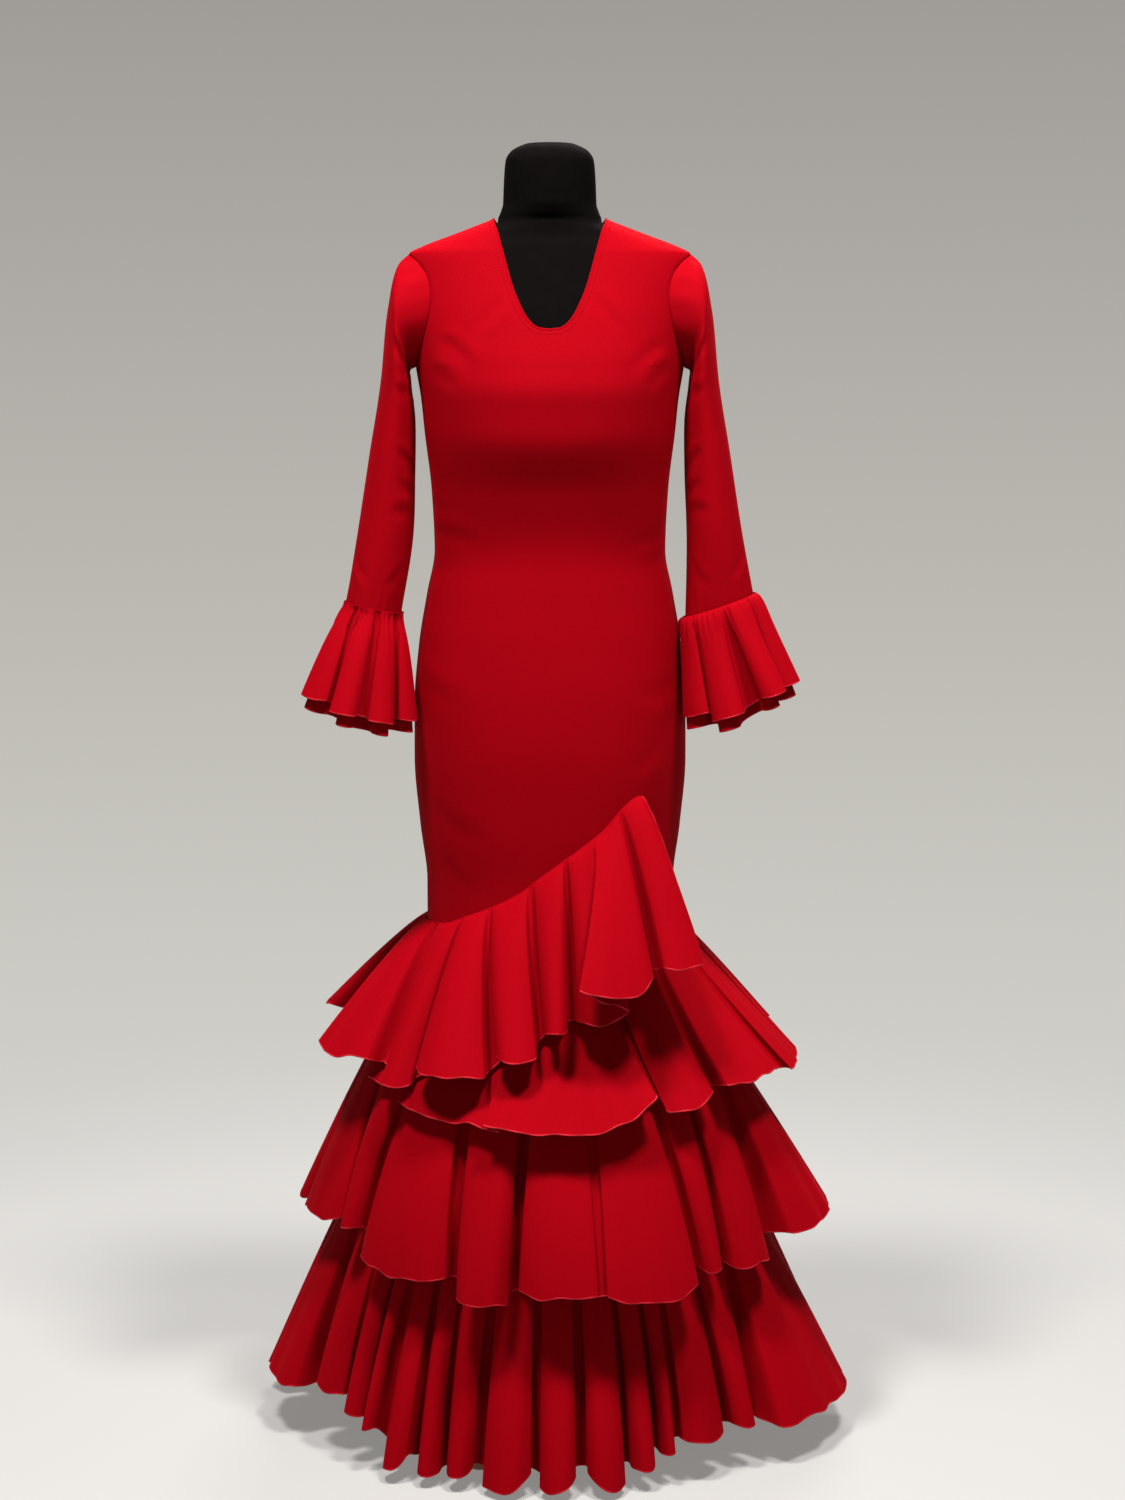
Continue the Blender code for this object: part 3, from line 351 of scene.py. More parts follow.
def smooth_curve(table):
    """A function that reads every column after the first at any key, through a smooth curve."""
    rows = np.array(table, float)
    keys = rows[:, 0]
    values = rows[:, 1:]
    steps = np.diff(keys)[:, None]
    rises = np.diff(values, axis=0) / steps
    slopes = np.zeros_like(values)
    before, after = rises[:-1], rises[1:]
    same_way = before * after > 0
    total = np.where(same_way, before + after, 1.0)
    slopes[1:-1] = np.where(same_way, 2 * before * after / total, 0.0)

    def at(key):
        key = np.clip(np.asarray(key, float), keys[0], keys[-1])
        low = np.clip(np.searchsorted(keys, key, side="right") - 1, 0, len(keys) - 2)
        span = steps[low]
        t = (key - keys[low])[..., None] / span
        start, end = slopes[low] * span, slopes[low + 1] * span
        return cubic(values[low], values[low + 1] - values[low], start, end, t)

    return at


body_at = smooth_curve(BODY)
front_neck_at = smooth_curve(FRONT_NECKLINE)
back_neck_at = smooth_curve(BACK_NECKLINE)


LEVEL = np.array((1, 1, 0))  # leaves a vector's level part


def unit(vectors):
    """The same vectors, one long."""
    return vectors / np.maximum(np.linalg.norm(vectors, axis=-1, keepdims=True), 1e-12)


def polar(deg, radius, z):
    """Points at an angle round the Z axis and a distance from it."""
    angle = np.radians(deg)
    return np.stack(np.broadcast_arrays(radius * np.sin(angle), -radius * np.cos(angle), z), -1)


def angle_of(points):
    """The angle of points round the Z axis, as polar takes it."""
    return np.degrees(np.arctan2(points[..., 0], -points[..., 1]))


def distances(path):
    """How far along a path each of its points is."""
    return np.concatenate(([0.0], np.cumsum(np.linalg.norm(np.diff(path, axis=0), axis=-1))))


def body_point(deg, z, out=None):
    """Points on the dress's outer face, or that far outside it."""
    deg, z = np.broadcast_arrays(np.asarray(deg, float), np.asarray(z, float))
    half_width, front, back = np.moveaxis(body_at(z), -1, 0)
    angle = np.radians(deg)
    depth = np.where(np.cos(angle) > 0, front, back)
    across = np.abs(np.sin(angle) / half_width) ** ROUNDNESS
    along = np.abs(np.cos(angle) / depth) ** ROUNDNESS
    point = polar(deg, (across + along) ** (-1 / ROUNDNESS), z)
    if out is None:
        return point
    return point + np.asarray(out)[..., None] * body_normal(deg, z)


def body_normal(deg, z):
    """Which way the dress faces at these points."""
    step_deg = 0.5
    step_z = 2 * MM
    round_body = body_point(deg + step_deg, z) - body_point(deg - step_deg, z)
    up_body = body_point(deg, z + step_z) - body_point(deg, z - step_z)
    return unit(np.cross(round_body, up_body))


def body_angle(x, z, back):
    """The angle at which the body is x wide from its middle."""
    half_width, front, back_depth = np.moveaxis(body_at(z), -1, 0)
    depth = back_depth if back else front
    left_over = np.maximum(0.0, 1 - (np.minimum(x, half_width) / half_width) ** ROUNDNESS)
    return np.degrees(np.arctan2(x, depth * left_over ** (1 / ROUNDNESS)))


def oval_turn(deg, z, backwards=False):
    """The angle on a circle that the body's oval stretches to this angle, or backwards."""
    half_width, front, back = np.moveaxis(body_at(z), -1, 0)
    angle = np.radians(deg)
    depth = np.where(np.cos(angle) > 0, front, back)
    if backwards:
        half_width, depth = 1 / half_width, 1 / depth
    return np.degrees(np.arctan2(np.sin(angle) / half_width, np.cos(angle) / depth))


CREASE_START = 0.3  # the part of a crease over which it sets in
CREASE_END = 0.4  # and over which it dies away
CREASE_RIDGE = 0.7  # the ridge's height, of the trough's depth
CREASE_RIDGE_SHIFT = 1.7  # how far the ridge lies from the trough, in widths


def crease_height(across, up, creases):
    """How far the cloth stands out at points given in metres, from creases given in metres."""
    height = np.zeros(np.broadcast(across, up).shape)
    for crease in creases:
        start = np.array((crease.across0, crease.up0))
        line = np.array((crease.across1, crease.up1)) - start
        length = np.linalg.norm(line)
        line = line / length
        x, y = across - start[0], up - start[1]
        along = (x * line[0] + y * line[1]) / length
        aside = y * line[0] - x * line[1] - crease.bow * MM * 4 * along * (1 - along)
        width = crease.width * MM
        ends = np.clip(along / CREASE_START, 0, 1) * np.clip((1 - along) / CREASE_END, 0, 1)
        ends = ends * ends * (3 - 2 * ends)
        trough = -np.exp(-((aside / width) ** 2))
        ridge = CREASE_RIDGE * np.exp(-(((aside - CREASE_RIDGE_SHIFT * width) / width) ** 2))
        height += crease.depth * MM * ends * (trough + ridge)
    return height


WAVE_SPREAD = (0.82, 1.0, 1.27)  # three near wavelengths, so that the waves never repeat evenly
WAVE_SHARE = 0.55  # of the stated height, for each of the three


def waves(along, length, sizes, seed):
    """Uneven waves along a line. sizes are (wavelength, height) in metres. They meet at the ends."""
    dice = np.random.RandomState(seed)
    total = np.zeros_like(along)
    for wavelength, height in sizes:
        for spread in WAVE_SPREAD:
            count = max(1, round(length / (wavelength * spread)))
            turn = 2 * pi * count * along / length + dice.uniform(0, 2 * pi)
            total += height * WAVE_SHARE * np.sin(turn)
    return total


# ---------------------------------------------------------------- materials


def srgb(hex_colour):
    """A linear colour with full alpha, from a hex one."""
    channels = [int(hex_colour[i : i + 2], 16) / 255 for i in (1, 3, 5)]
    linear = [c / 12.92 if c <= 0.04045 else ((c + 0.055) / 1.055) ** 2.4 for c in channels]
    return (*linear, 1.0)


def node(tree, kind, values=(), links=(), **settings):
    """Adds a node with its settings, its input values and the sockets linked to its inputs."""
    made = tree.nodes.new(kind)
    for key, value in settings.items():
        setattr(made, key, value)
    for key, value in dict(values).items():
        made.inputs[key].default_value = value
    for key, source in dict(links).items():
        tree.links.new(source, made.inputs[key])
    return made


def stripe_scale(spacing, diagonal=False):
    """The scale at which a wave texture's stripes lie that far apart along one axis."""
    return 2 * pi / (10 if diagonal else 20) / spacing


# A colour mix node's sockets, by their place: its share, its two colours, and the mixed colour.
SHARE = 0
COLOUR_A = 6
COLOUR_B = 7
MIXED = 2


def new_material(name):
    """A material with a principled shader, its tree, and the shader."""
    made = bpy.data.materials.new(name)
    made.use_nodes = True
    return made, made.node_tree, made.node_tree.nodes["Principled BSDF"]


def make_crepe():
    """Polyester crepe, woven with hard-twisted yarn and piece dyed: a dead matte, pebbled red face."""
    made, tree, shader = new_material("polyester crepe, piece dyed red")
    place = node(tree, "ShaderNodeTexCoord")
    # Dye takes unevenly over a hand's breadth, too little to see as patches.
    cloudy = node(
        tree, "ShaderNodeTexNoise", {"Scale": 9.0, "Detail": 3.0}, {"Vector": place.outputs["Object"]}
    )
    dyed = node(
        tree,
        "ShaderNodeMix",
        {COLOUR_A: srgb("#80000A"), COLOUR_B: srgb("#8A000C")},
        {SHARE: cloudy.outputs["Fac"]},
        data_type="RGBA",
    )
    # Crepe pebbles are 0.4 mm across. They are drawn at 1.4 mm, so that they show.
    pebbles = node(
        tree,
        "ShaderNodeTexNoise",
        {"Scale": 1 / (1.4 * MM), "Detail": 2.0},
        {"Vector": place.outputs["Object"]},
    )
    shade = node(
        tree,
        "ShaderNodeMapRange",
        {"From Min": 0.35, "From Max": 0.75, "To Min": 0.0, "To Max": 0.22},
        {"Value": pebbles.outputs["Fac"]},
    )
    speckled = node(
        tree,
        "ShaderNodeMix",
        {COLOUR_B: srgb("#580006")},
        {SHARE: shade.outputs["Result"], COLOUR_A: dyed.outputs[MIXED]},
        data_type="RGBA",
    )
    # Warp threads run down the cloth 0.3 mm apart. Their streaks are drawn 10 mm apart, so that they show.
    threads = node(
        tree,
        "ShaderNodeTexWave",
        {"Scale": stripe_scale(10.053 * MM), "Distortion": 1.5, "Detail": 1.0, "Detail Scale": 2.0},
        {"Vector": place.outputs["UV"]},
        wave_type="BANDS",
        bands_direction="X",
    )
    # The threads stand a third as high as the pebbles.
    relief = node(
        tree,
        "ShaderNodeMath",
        {1: 0.35},
        {0: threads.outputs["Fac"], 2: pebbles.outputs["Fac"]},
        operation="MULTIPLY_ADD",
    )
    bump = node(
        tree, "ShaderNodeBump", {"Strength": 0.35, "Distance": 0.25 * MM}, {"Height": relief.outputs["Value"]}
    )
    rough = node(
        tree,
        "ShaderNodeMapRange",
        {"To Min": 0.74, "To Max": 0.9},
        {"Value": pebbles.outputs["Fac"]},
    )
    tree.links.new(speckled.outputs[MIXED], shader.inputs["Base Color"])
    tree.links.new(rough.outputs["Result"], shader.inputs["Roughness"])
    tree.links.new(bump.outputs["Normal"], shader.inputs["Normal"])
    shader.inputs["Specular IOR Level"].default_value = 0.02
    shader.inputs["Sheen Weight"].default_value = 0.1
    shader.inputs["Sheen Roughness"].default_value = 0.45
    shader.inputs["Sheen Tint"].default_value = srgb("#FF001C")
    return made


def make_thread():
    """Textured polyester overlock thread, paler than the cloth, with the gloss of filament yarn."""
    made, tree, shader = new_material("overlock thread, pale red polyester")
    place = node(tree, "ShaderNodeTexCoord")
    # The wraps, 2.4 mm apart, are in the mesh. The yarn's light and dark lengths lie 30 mm apart.
    wraps = node(
        tree,
        "ShaderNodeTexWave",
        {"Scale": stripe_scale(30.159 * MM, diagonal=True), "Distortion": 0.6},
        {"Vector": place.outputs["UV"]},
        wave_type="BANDS",
        bands_direction="DIAGONAL",
    )
    colour = node(
        tree,
        "ShaderNodeMix",
        {COLOUR_A: srgb("#84000E"), COLOUR_B: srgb("#B81A2A")},
        {SHARE: wraps.outputs["Fac"]},
        data_type="RGBA",
    )
    bump = node(
        tree, "ShaderNodeBump", {"Strength": 0.5, "Distance": 0.3 * MM}, {"Height": wraps.outputs["Fac"]}
    )
    tree.links.new(colour.outputs[MIXED], shader.inputs["Base Color"])
    tree.links.new(bump.outputs["Normal"], shader.inputs["Normal"])
    shader.inputs["Roughness"].default_value = 0.6
    shader.inputs["Specular IOR Level"].default_value = 0.15
    return made


def make_jersey():
    """Cotton jersey stretched over foam: a flat black knit that takes almost no light."""
    made, tree, shader = new_material("black cotton jersey")
    place = node(tree, "ShaderNodeTexCoord")
    # Wales are 1 mm apart. They are drawn 12.6 mm apart, so that they show.
    wales = node(
        tree,
        "ShaderNodeTexWave",
        {"Scale": stripe_scale(12.566 * MM), "Distortion": 0.8, "Detail": 1.0},
        {"Vector": place.outputs["UV"]},
        wave_type="BANDS",
        bands_direction="X",
    )
    lint = node(
        tree, "ShaderNodeTexNoise", {"Scale": 60.0, "Detail": 4.0}, {"Vector": place.outputs["Object"]}
    )
    colour = node(
        tree,
        "ShaderNodeMix",
        {COLOUR_A: srgb("#020101"), COLOUR_B: srgb("#060404")},
        {SHARE: lint.outputs["Fac"]},
        data_type="RGBA",
    )
    bump = node(
        tree, "ShaderNodeBump", {"Strength": 0.4, "Distance": 0.3 * MM}, {"Height": wales.outputs["Fac"]}
    )
    tree.links.new(colour.outputs[MIXED], shader.inputs["Base Color"])
    tree.links.new(bump.outputs["Normal"], shader.inputs["Normal"])
    shader.inputs["Roughness"].default_value = 0.92
    shader.inputs["Specular IOR Level"].default_value = 0.04
    return made


def make_beech():
    """Beech plank, sawn, sanded and clear varnished: warm tan with short darker flecks."""
    made, tree, shader = new_material("varnished beech")
    place = node(tree, "ShaderNodeTexCoord")
    # Growth rings are about 3 mm apart in the tree. The plank cuts them flat, 19 mm apart.
    rings = node(
        tree,
        "ShaderNodeTexWave",
        {"Scale": stripe_scale(18.85 * MM), "Distortion": 6.0, "Detail": 3.0, "Detail Scale": 0.6},
        {"Vector": place.outputs["Object"]},
        wave_type="BANDS",
        bands_direction="Y",
    )
    # Flecks are 17 mm long and 1.4 mm across.
    stretched = node(
        tree, "ShaderNodeMapping", {"Scale": (60.0, 700.0, 700.0)}, {"Vector": place.outputs["Object"]}
    )
    flecks = node(
        tree, "ShaderNodeTexNoise", {"Scale": 1.0, "Detail": 2.0}, {"Vector": stretched.outputs["Vector"]}
    )
    ground = node(
        tree,
        "ShaderNodeMix",
        {COLOUR_A: srgb("#B5814F"), COLOUR_B: srgb("#8E5E37")},
        {SHARE: rings.outputs["Fac"]},
        data_type="RGBA",
    )
    fleck_share = node(
        tree,
        "ShaderNodeMapRange",
        {"From Min": 0.55, "From Max": 0.75, "To Max": 0.6},
        {"Value": flecks.outputs["Fac"]},
    )
    colour = node(
        tree,
        "ShaderNodeMix",
        {COLOUR_B: srgb("#6E4526")},
        {SHARE: fleck_share.outputs["Result"], COLOUR_A: ground.outputs[MIXED]},
        data_type="RGBA",
    )
    bump = node(
        tree, "ShaderNodeBump", {"Strength": 0.2, "Distance": 0.2 * MM}, {"Height": flecks.outputs["Fac"]}
    )
    tree.links.new(colour.outputs[MIXED], shader.inputs["Base Color"])
    tree.links.new(bump.outputs["Normal"], shader.inputs["Normal"])
    shader.inputs["Roughness"].default_value = 0.38
    shader.inputs["Coat Weight"].default_value = 0.3
    shader.inputs["Coat Roughness"].default_value = 0.2
    return made


def make_painted_steel():
    """Steel tube, powder coated black: a low satin skin with a faint orange peel."""
    made, tree, shader = new_material("powder-coated steel tube")
    place = node(tree, "ShaderNodeTexCoord")
    # Orange peel lies about 1.5 mm from crest to crest.
    peel = node(
        tree,
        "ShaderNodeTexNoise",
        {"Scale": 1 / (1.5 * MM), "Detail": 1.0},
        {"Vector": place.outputs["Object"]},
    )
    # Dust lies in soft patches about 70 mm across.
    dust = node(
        tree, "ShaderNodeTexNoise", {"Scale": 14.0, "Detail": 5.0}, {"Vector": place.outputs["Object"]}
    )
    colour = node(
        tree,
        "ShaderNodeMix",
        {COLOUR_A: srgb("#121110"), COLOUR_B: srgb("#24211E")},
        {SHARE: dust.outputs["Fac"]},
        data_type="RGBA",
    )
    bump = node(
        tree, "ShaderNodeBump", {"Strength": 0.15, "Distance": 0.1 * MM}, {"Height": peel.outputs["Fac"]}
    )
    tree.links.new(colour.outputs[MIXED], shader.inputs["Base Color"])
    tree.links.new(bump.outputs["Normal"], shader.inputs["Normal"])
    shader.inputs["Roughness"].default_value = 0.42
    return made


def make_lacquered_zinc():
    """Die-cast zinc, dipped in red lacquer: a thin gloss coat, darker where it pools."""
    made, tree, shader = new_material("red lacquered zinc")
    place = node(tree, "ShaderNodeTexCoord")
    # The lacquer pools in spots about 2.5 mm across.
    pooled = node(
        tree, "ShaderNodeTexNoise", {"Scale": 400.0, "Detail": 2.0}, {"Vector": place.outputs["Object"]}
    )
    colour = node(
        tree,
        "ShaderNodeMix",
        {COLOUR_A: srgb("#8E0614"), COLOUR_B: srgb("#B01024")},
        {SHARE: pooled.outputs["Fac"]},
        data_type="RGBA",
    )
    rough = node(
        tree, "ShaderNodeMapRange", {"To Min": 0.22, "To Max": 0.4}, {"Value": pooled.outputs["Fac"]}
    )
    tree.links.new(colour.outputs[MIXED], shader.inputs["Base Color"])
    tree.links.new(rough.outputs["Result"], shader.inputs["Roughness"])
    shader.inputs["Metallic"].default_value = 0.35
    shader.inputs["Coat Weight"].default_value = 0.5
    shader.inputs["Coat Roughness"].default_value = 0.15
    return made


def make_zip_tape():
    """Woven polyester zip tape, dyed to match: a close herringbone, slightly brighter than crepe."""
    made, tree, shader = new_material("woven zip tape")
    place = node(tree, "ShaderNodeTexCoord")
    # Herringbone ribs are 0.8 mm apart. They are drawn 10 mm apart, so that they show.
    ribs = node(
        tree,
        "ShaderNodeTexWave",
        {"Scale": stripe_scale(10.053 * MM, diagonal=True), "Distortion": 0.4},
        {"Vector": place.outputs["UV"]},
        wave_type="BANDS",
        bands_direction="DIAGONAL",
    )
    colour = node(
        tree,
        "ShaderNodeMix",
        {COLOUR_A: srgb("#86040E"), COLOUR_B: srgb("#B80C1A")},
        {SHARE: ribs.outputs["Fac"]},
        data_type="RGBA",
    )
    bump = node(
        tree, "ShaderNodeBump", {"Strength": 0.5, "Distance": 0.15 * MM}, {"Height": ribs.outputs["Fac"]}
    )
    tree.links.new(colour.outputs[MIXED], shader.inputs["Base Color"])
    tree.links.new(bump.outputs["Normal"], shader.inputs["Normal"])
    shader.inputs["Roughness"].default_value = 0.7
    return made


def make_studio_vinyl():
    """Matt white studio vinyl, slightly warm, with a soft unevenness."""
    made, tree, shader = new_material("matt white studio vinyl")
    place = node(tree, "ShaderNodeTexCoord")
    cloudy = node(
        tree, "ShaderNodeTexNoise", {"Scale": 1.2, "Detail": 2.0}, {"Vector": place.outputs["Object"]}
    )
    colour = node(
        tree,
        "ShaderNodeMix",
        {COLOUR_A: srgb("#838485"), COLOUR_B: srgb("#898A8B")},
        {SHARE: cloudy.outputs["Fac"]},
        data_type="RGBA",
    )
    tree.links.new(colour.outputs[MIXED], shader.inputs["Base Color"])
    shader.inputs["Roughness"].default_value = 0.8
    # It glows a little, as if lit from all round, so that the shadows on it stay pale.
    shader.inputs["Emission Color"].default_value = srgb("#F6F4F0")
    shader.inputs["Emission Strength"].default_value = 0.26
    # It thins out from 0.9 m to 2.6 m away, so that it runs into the room without an edge.
    away = node(tree, "ShaderNodeVectorMath", (), {"Vector": place.outputs["Object"]}, operation="LENGTH")
    thin = node(
        tree,
        "ShaderNodeMapRange",
        {"From Min": 0.9, "From Max": 2.6},
        {"Value": away.outputs["Value"]},
        interpolation_type="SMOOTHSTEP",
    )
    clear = node(tree, "ShaderNodeBsdfTransparent")
    mixed = node(tree, "ShaderNodeMixShader")
    tree.links.new(thin.outputs["Result"], mixed.inputs[0])
    tree.links.new(shader.outputs["BSDF"], mixed.inputs[1])
    tree.links.new(clear.outputs["BSDF"], mixed.inputs[2])
    tree.links.new(mixed.outputs["Shader"], tree.nodes["Material Output"].inputs["Surface"])
    return made


CREPE = make_crepe()
THREAD = make_thread()
JERSEY = make_jersey()
BEECH = make_beech()
PAINTED_STEEL = make_painted_steel()
ZINC = make_lacquered_zinc()
ZIP_TAPE = make_zip_tape()

# ---------------------------------------------------------------- meshes


def add_object(name, data):
    """An object in the scene, from its mesh, lamp or camera data."""
    made = bpy.data.objects.new(name, data)
    bpy.context.scene.collection.objects.link(made)
    return made


def add_mesh(name, points, faces, finish, uv=None, sharp_deg=70):
    """A named object from points and faces. uv holds a pair for every corner of every face."""
    mesh = bpy.data.meshes.new(name)
    mesh.from_pydata(points.tolist(), [], faces)
    if uv is not None:
        layer = mesh.uv_layers.new(name="cloth")
        layer.data.foreach_set("uv", np.asarray(uv, np.float32).ravel())
    mesh.materials.append(finish)
    mesh.shade_smooth()
    mesh.set_sharp_from_angle(angle=radians(sharp_deg))
    mesh.validate()
    return add_object(name, mesh)


def grid_normals(grid, closed):
    """Outward normals of a grid whose columns run round the body and whose rows run down it."""
    up = np.empty_like(grid)
    up[1:-1] = grid[:-2] - grid[2:]
    up[0] = grid[0] - grid[1]
    up[-1] = grid[-2] - grid[-1]
    back = np.empty_like(grid)
    back[:, 1:-1] = grid[:, :-2] - grid[:, 2:]
    if closed:
        back[:, 0] = back[:, -1] = grid[:, -2] - grid[:, 1]
    else:
        back[:, 0] = grid[:, 0] - grid[:, 1]
        back[:, -1] = grid[:, -2] - grid[:, -1]
    return unit(np.cross(up, back))


def grid_uv(grid):
    """Metres along the middle row and down the middle column, for weaves."""
    rows, columns = grid.shape[:2]
    return np.stack(np.meshgrid(distances(grid[rows // 2]), -distances(grid[:, columns // 2])), -1)


def tube_faces(rings, sides, closed=False):
    """Quads between rings of points. A closed tube's last ring joins its first."""
    faces = []
    for ring in range(rings if closed else rings - 1):
        start, after = ring * sides, (ring + 1) % rings * sides
        for k in range(sides):
            k1 = (k + 1) % sides
            faces.append([start + k, start + k1, after + k1, after + k])
    return faces


def end_faces(rings, sides):
    """The two faces that close a tube's ends."""
    first = list(range(sides))
    return [first[::-1], [(rings - 1) * sides + k for k in first]]


def cloth_shell(name, grids, finish=CREPE):
    """A closed thin shell from (outer, inner) grids. Points that coincide are joined."""
    outer, inner, uv, corners = [], [], [], []
    start = 0
    for out_grid, in_grid in grids:
        rows, columns = out_grid.shape[:2]
        row, column = np.meshgrid(np.arange(rows - 1), np.arange(columns - 1), indexing="ij")
        first = (start + row * columns + column).ravel()
        corners.append(np.stack([first, first + columns, first + columns + 1, first + 1], -1))
        outer.append(out_grid.reshape(-1, 3))
        inner.append(in_grid.reshape(-1, 3))
        uv.append(grid_uv(out_grid).reshape(-1, 2))
        start += rows * columns
    outer, inner, uv, corners = [np.concatenate(part) for part in (outer, inner, uv, corners)]
    _, kept, joined = np.unique(np.round(outer, 6), axis=0, return_index=True, return_inverse=True)
    joined = joined.reshape(-1)
    count = len(kept)
    faces, pairs, edges = [], [], {}
    for quad in corners.tolist():
        ring = []
        for corner in quad:
            if joined[corner] not in [number for number, _ in ring]:
                ring.append((int(joined[corner]), corner))
        if len(ring) < 3:
            continue
        faces.append([number for number, _ in ring])
        pairs.extend(corner for _, corner in ring)
        for (a, uv_a), (b, uv_b) in zip(ring, ring[1:] + ring[:1]):
            edges[(a, b)] = (uv_a, uv_b)
    position = 0
    for face in list(faces):
        faces.append([number + count for number in reversed(face)])
        pairs.extend(reversed(pairs[position : position + len(face)]))
        position += len(face)
    for (a, b), (uv_a, uv_b) in edges.items():
        if (b, a) not in edges:
            faces.append([b, a, a + count, b + count])
            pairs.extend([uv_b, uv_a, uv_a, uv_b])
    points = np.concatenate([outer[kept], inner[kept]])
    return add_mesh(name, points, faces, finish, uv[pairs])


def resample(path, normals, step, closed):
    """The same path with points about that far apart. A closed path repeats its first point."""
    along = distances(path)
    count = max(4, round(along[-1] / step))
    count += count % 2 if closed else 0
    at = np.linspace(0, along[-1], count + 1)
    if closed:
        at = at[:-1]
    spread = [
        np.stack([np.interp(at, along, values[:, axis]) for axis in range(3)], -1)
        for values in (path, normals)
    ]
    return spread[0], unit(spread[1]), at


ROLL_END = 0.4  # how thick an open roll's ends are, of its middle


def roll_parts(path, normals, closed, half_height, half_depth, sides, bump, step):
    """Points, faces and uv of a small roll that follows a cloth edge, thicker at every other ring."""
    points, out, along = resample(path, normals, step, closed)
    if closed:
        tangent = np.roll(points, -1, axis=0) - np.roll(points, 1, axis=0)
    else:
        tangent = np.gradient(points, axis=0)
    side = unit(np.cross(tangent, out))
    out = unit(np.cross(side, tangent))
    count = len(points)
    size = 1 + bump * np.cos(pi * np.arange(count))
    if not closed:
        size[[0, -1]] = ROLL_END
    turn = 2 * pi * np.arange(sides) / sides
    rings = (
        points[:, None]
        + side[:, None] * (half_height * np.cos(turn))[None, :, None] * size[:, None, None]
        + out[:, None] * (half_depth * np.sin(turn))[None, :, None] * size[:, None, None]
    )
    faces, uv = tube_faces(count, sides, closed), []
    girth = pi * (half_height + half_depth)
    u = [*along, along[-1] + step] if closed else along
    for u0, u1 in zip(u, u[1:]):
        for k in range(sides):
            v0, v1 = girth * k / sides, girth * (k + 1) / sides
            uv.extend([(u0, v0), (u0, v1), (u1, v1), (u1, v0)])
    if not closed:
        faces.extend(end_faces(count, sides))
        uv.extend([(along[0], 0.0)] * sides + [(along[-1], 0.0)] * sides)
    return rings.reshape(-1, 3), faces, uv


def joined_mesh(name, parts, finish, sharp_deg=70):
    """One object from several (points, faces, uv) parts."""
    points, faces, uv = [], [], []
    start = 0
    for part_points, part_faces, part_uv in parts:
        points.append(part_points)
        faces.extend([[number + start for number in face] for face in part_faces])
        uv.extend(part_uv)
        start += len(part_points)
    made = add_mesh(name, np.concatenate(points), faces, finish, uv, sharp_deg)
    maker = bmesh.new()
    maker.from_mesh(made.data)
    bmesh.ops.recalc_face_normals(maker, faces=maker.faces)
    maker.to_mesh(made.data)
    maker.free()
    return made


STITCH_SIDES = 6
# A stitch's rings: their place along it and their thickness.
STITCH_RINGS = ((-0.5, 0.15), (-0.36, 0.85), (0.0, 1.0), (0.36, 0.85), (0.5, 0.15))


def stitch_parts(path, normals, pitch, length, thickness, lift):
    """Separate stitches along a path, as sunk capsules of thread."""
    points, out, _ = resample(path, normals, pitch, False)
    tangent = unit(np.gradient(points, axis=0))
    side = unit(np.cross(tangent, out))
    turn = 2 * pi * np.arange(STITCH_SIDES) / STITCH_SIDES
    faces = tube_faces(len(STITCH_RINGS), STITCH_SIDES) + end_faces(len(STITCH_RINGS), STITCH_SIDES)
    uv = []
    for ring in range(len(STITCH_RINGS) - 1):
        for k in range(STITCH_SIDES):
            uv.extend([(ring * MM, k * MM)] * 4)
    uv.extend([(0.0, 0.0)] * (2 * STITCH_SIDES))
    parts = []
    for middle, forward, up, across in zip(points[1:-1], tangent[1:-1], out[1:-1], side[1:-1]):
        rings = []
        for shift, size in STITCH_RINGS:
            centre = middle + forward * shift * length + up * lift * size
            circle = across * np.cos(turn)[:, None] + up * np.sin(turn)[:, None]
            rings.append(centre + circle * thickness / 2 * size)
        parts.append((np.concatenate(rings), faces, uv))
    return parts


def wear(piece, slot, *nodes):
    """Fixes a piece to the dress and hides the solids that it stands for. Its finish, slot, is not used."""
    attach(piece, DRESS)
    if nodes:
        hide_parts(*nodes)
    return piece


# ---------------------------------------------------------------- fitted panels

SEAM_DIP = 0.8 * MM  # how deep the cloth turns in at a seam
SEAM_DIP_WIDTH = 2.6 * MM
PANEL_COLUMNS = 44
NECK_ROLL_HALF_HEIGHT = 1.5 * MM
NECK_ROLL_HALF_DEPTH = 1.05 * MM
TOPSTITCH_DOWN = 6 * MM  # how far below the neck's edge its stitches run
TOPSTITCH_PITCH = 3.4 * MM
TOPSTITCH_LENGTH = 2.5 * MM
TOPSTITCH_THICKNESS = 0.6 * MM


def seam_dip(distance):
    """How far the cloth dips at that distance from a seam."""
    return -SEAM_DIP * np.exp(-((distance / SEAM_DIP_WIDTH) ** 2))


def armhole_reach(z):
    """Half the armhole's width at a height, in degrees round the body."""
    rise = (z - ARMHOLE_MID_Z) / ARMHOLE_HALF_HEIGHT
    return ARMHOLE_HALF_DEG * np.sqrt(np.maximum(0.0, 1 - rise * rise))


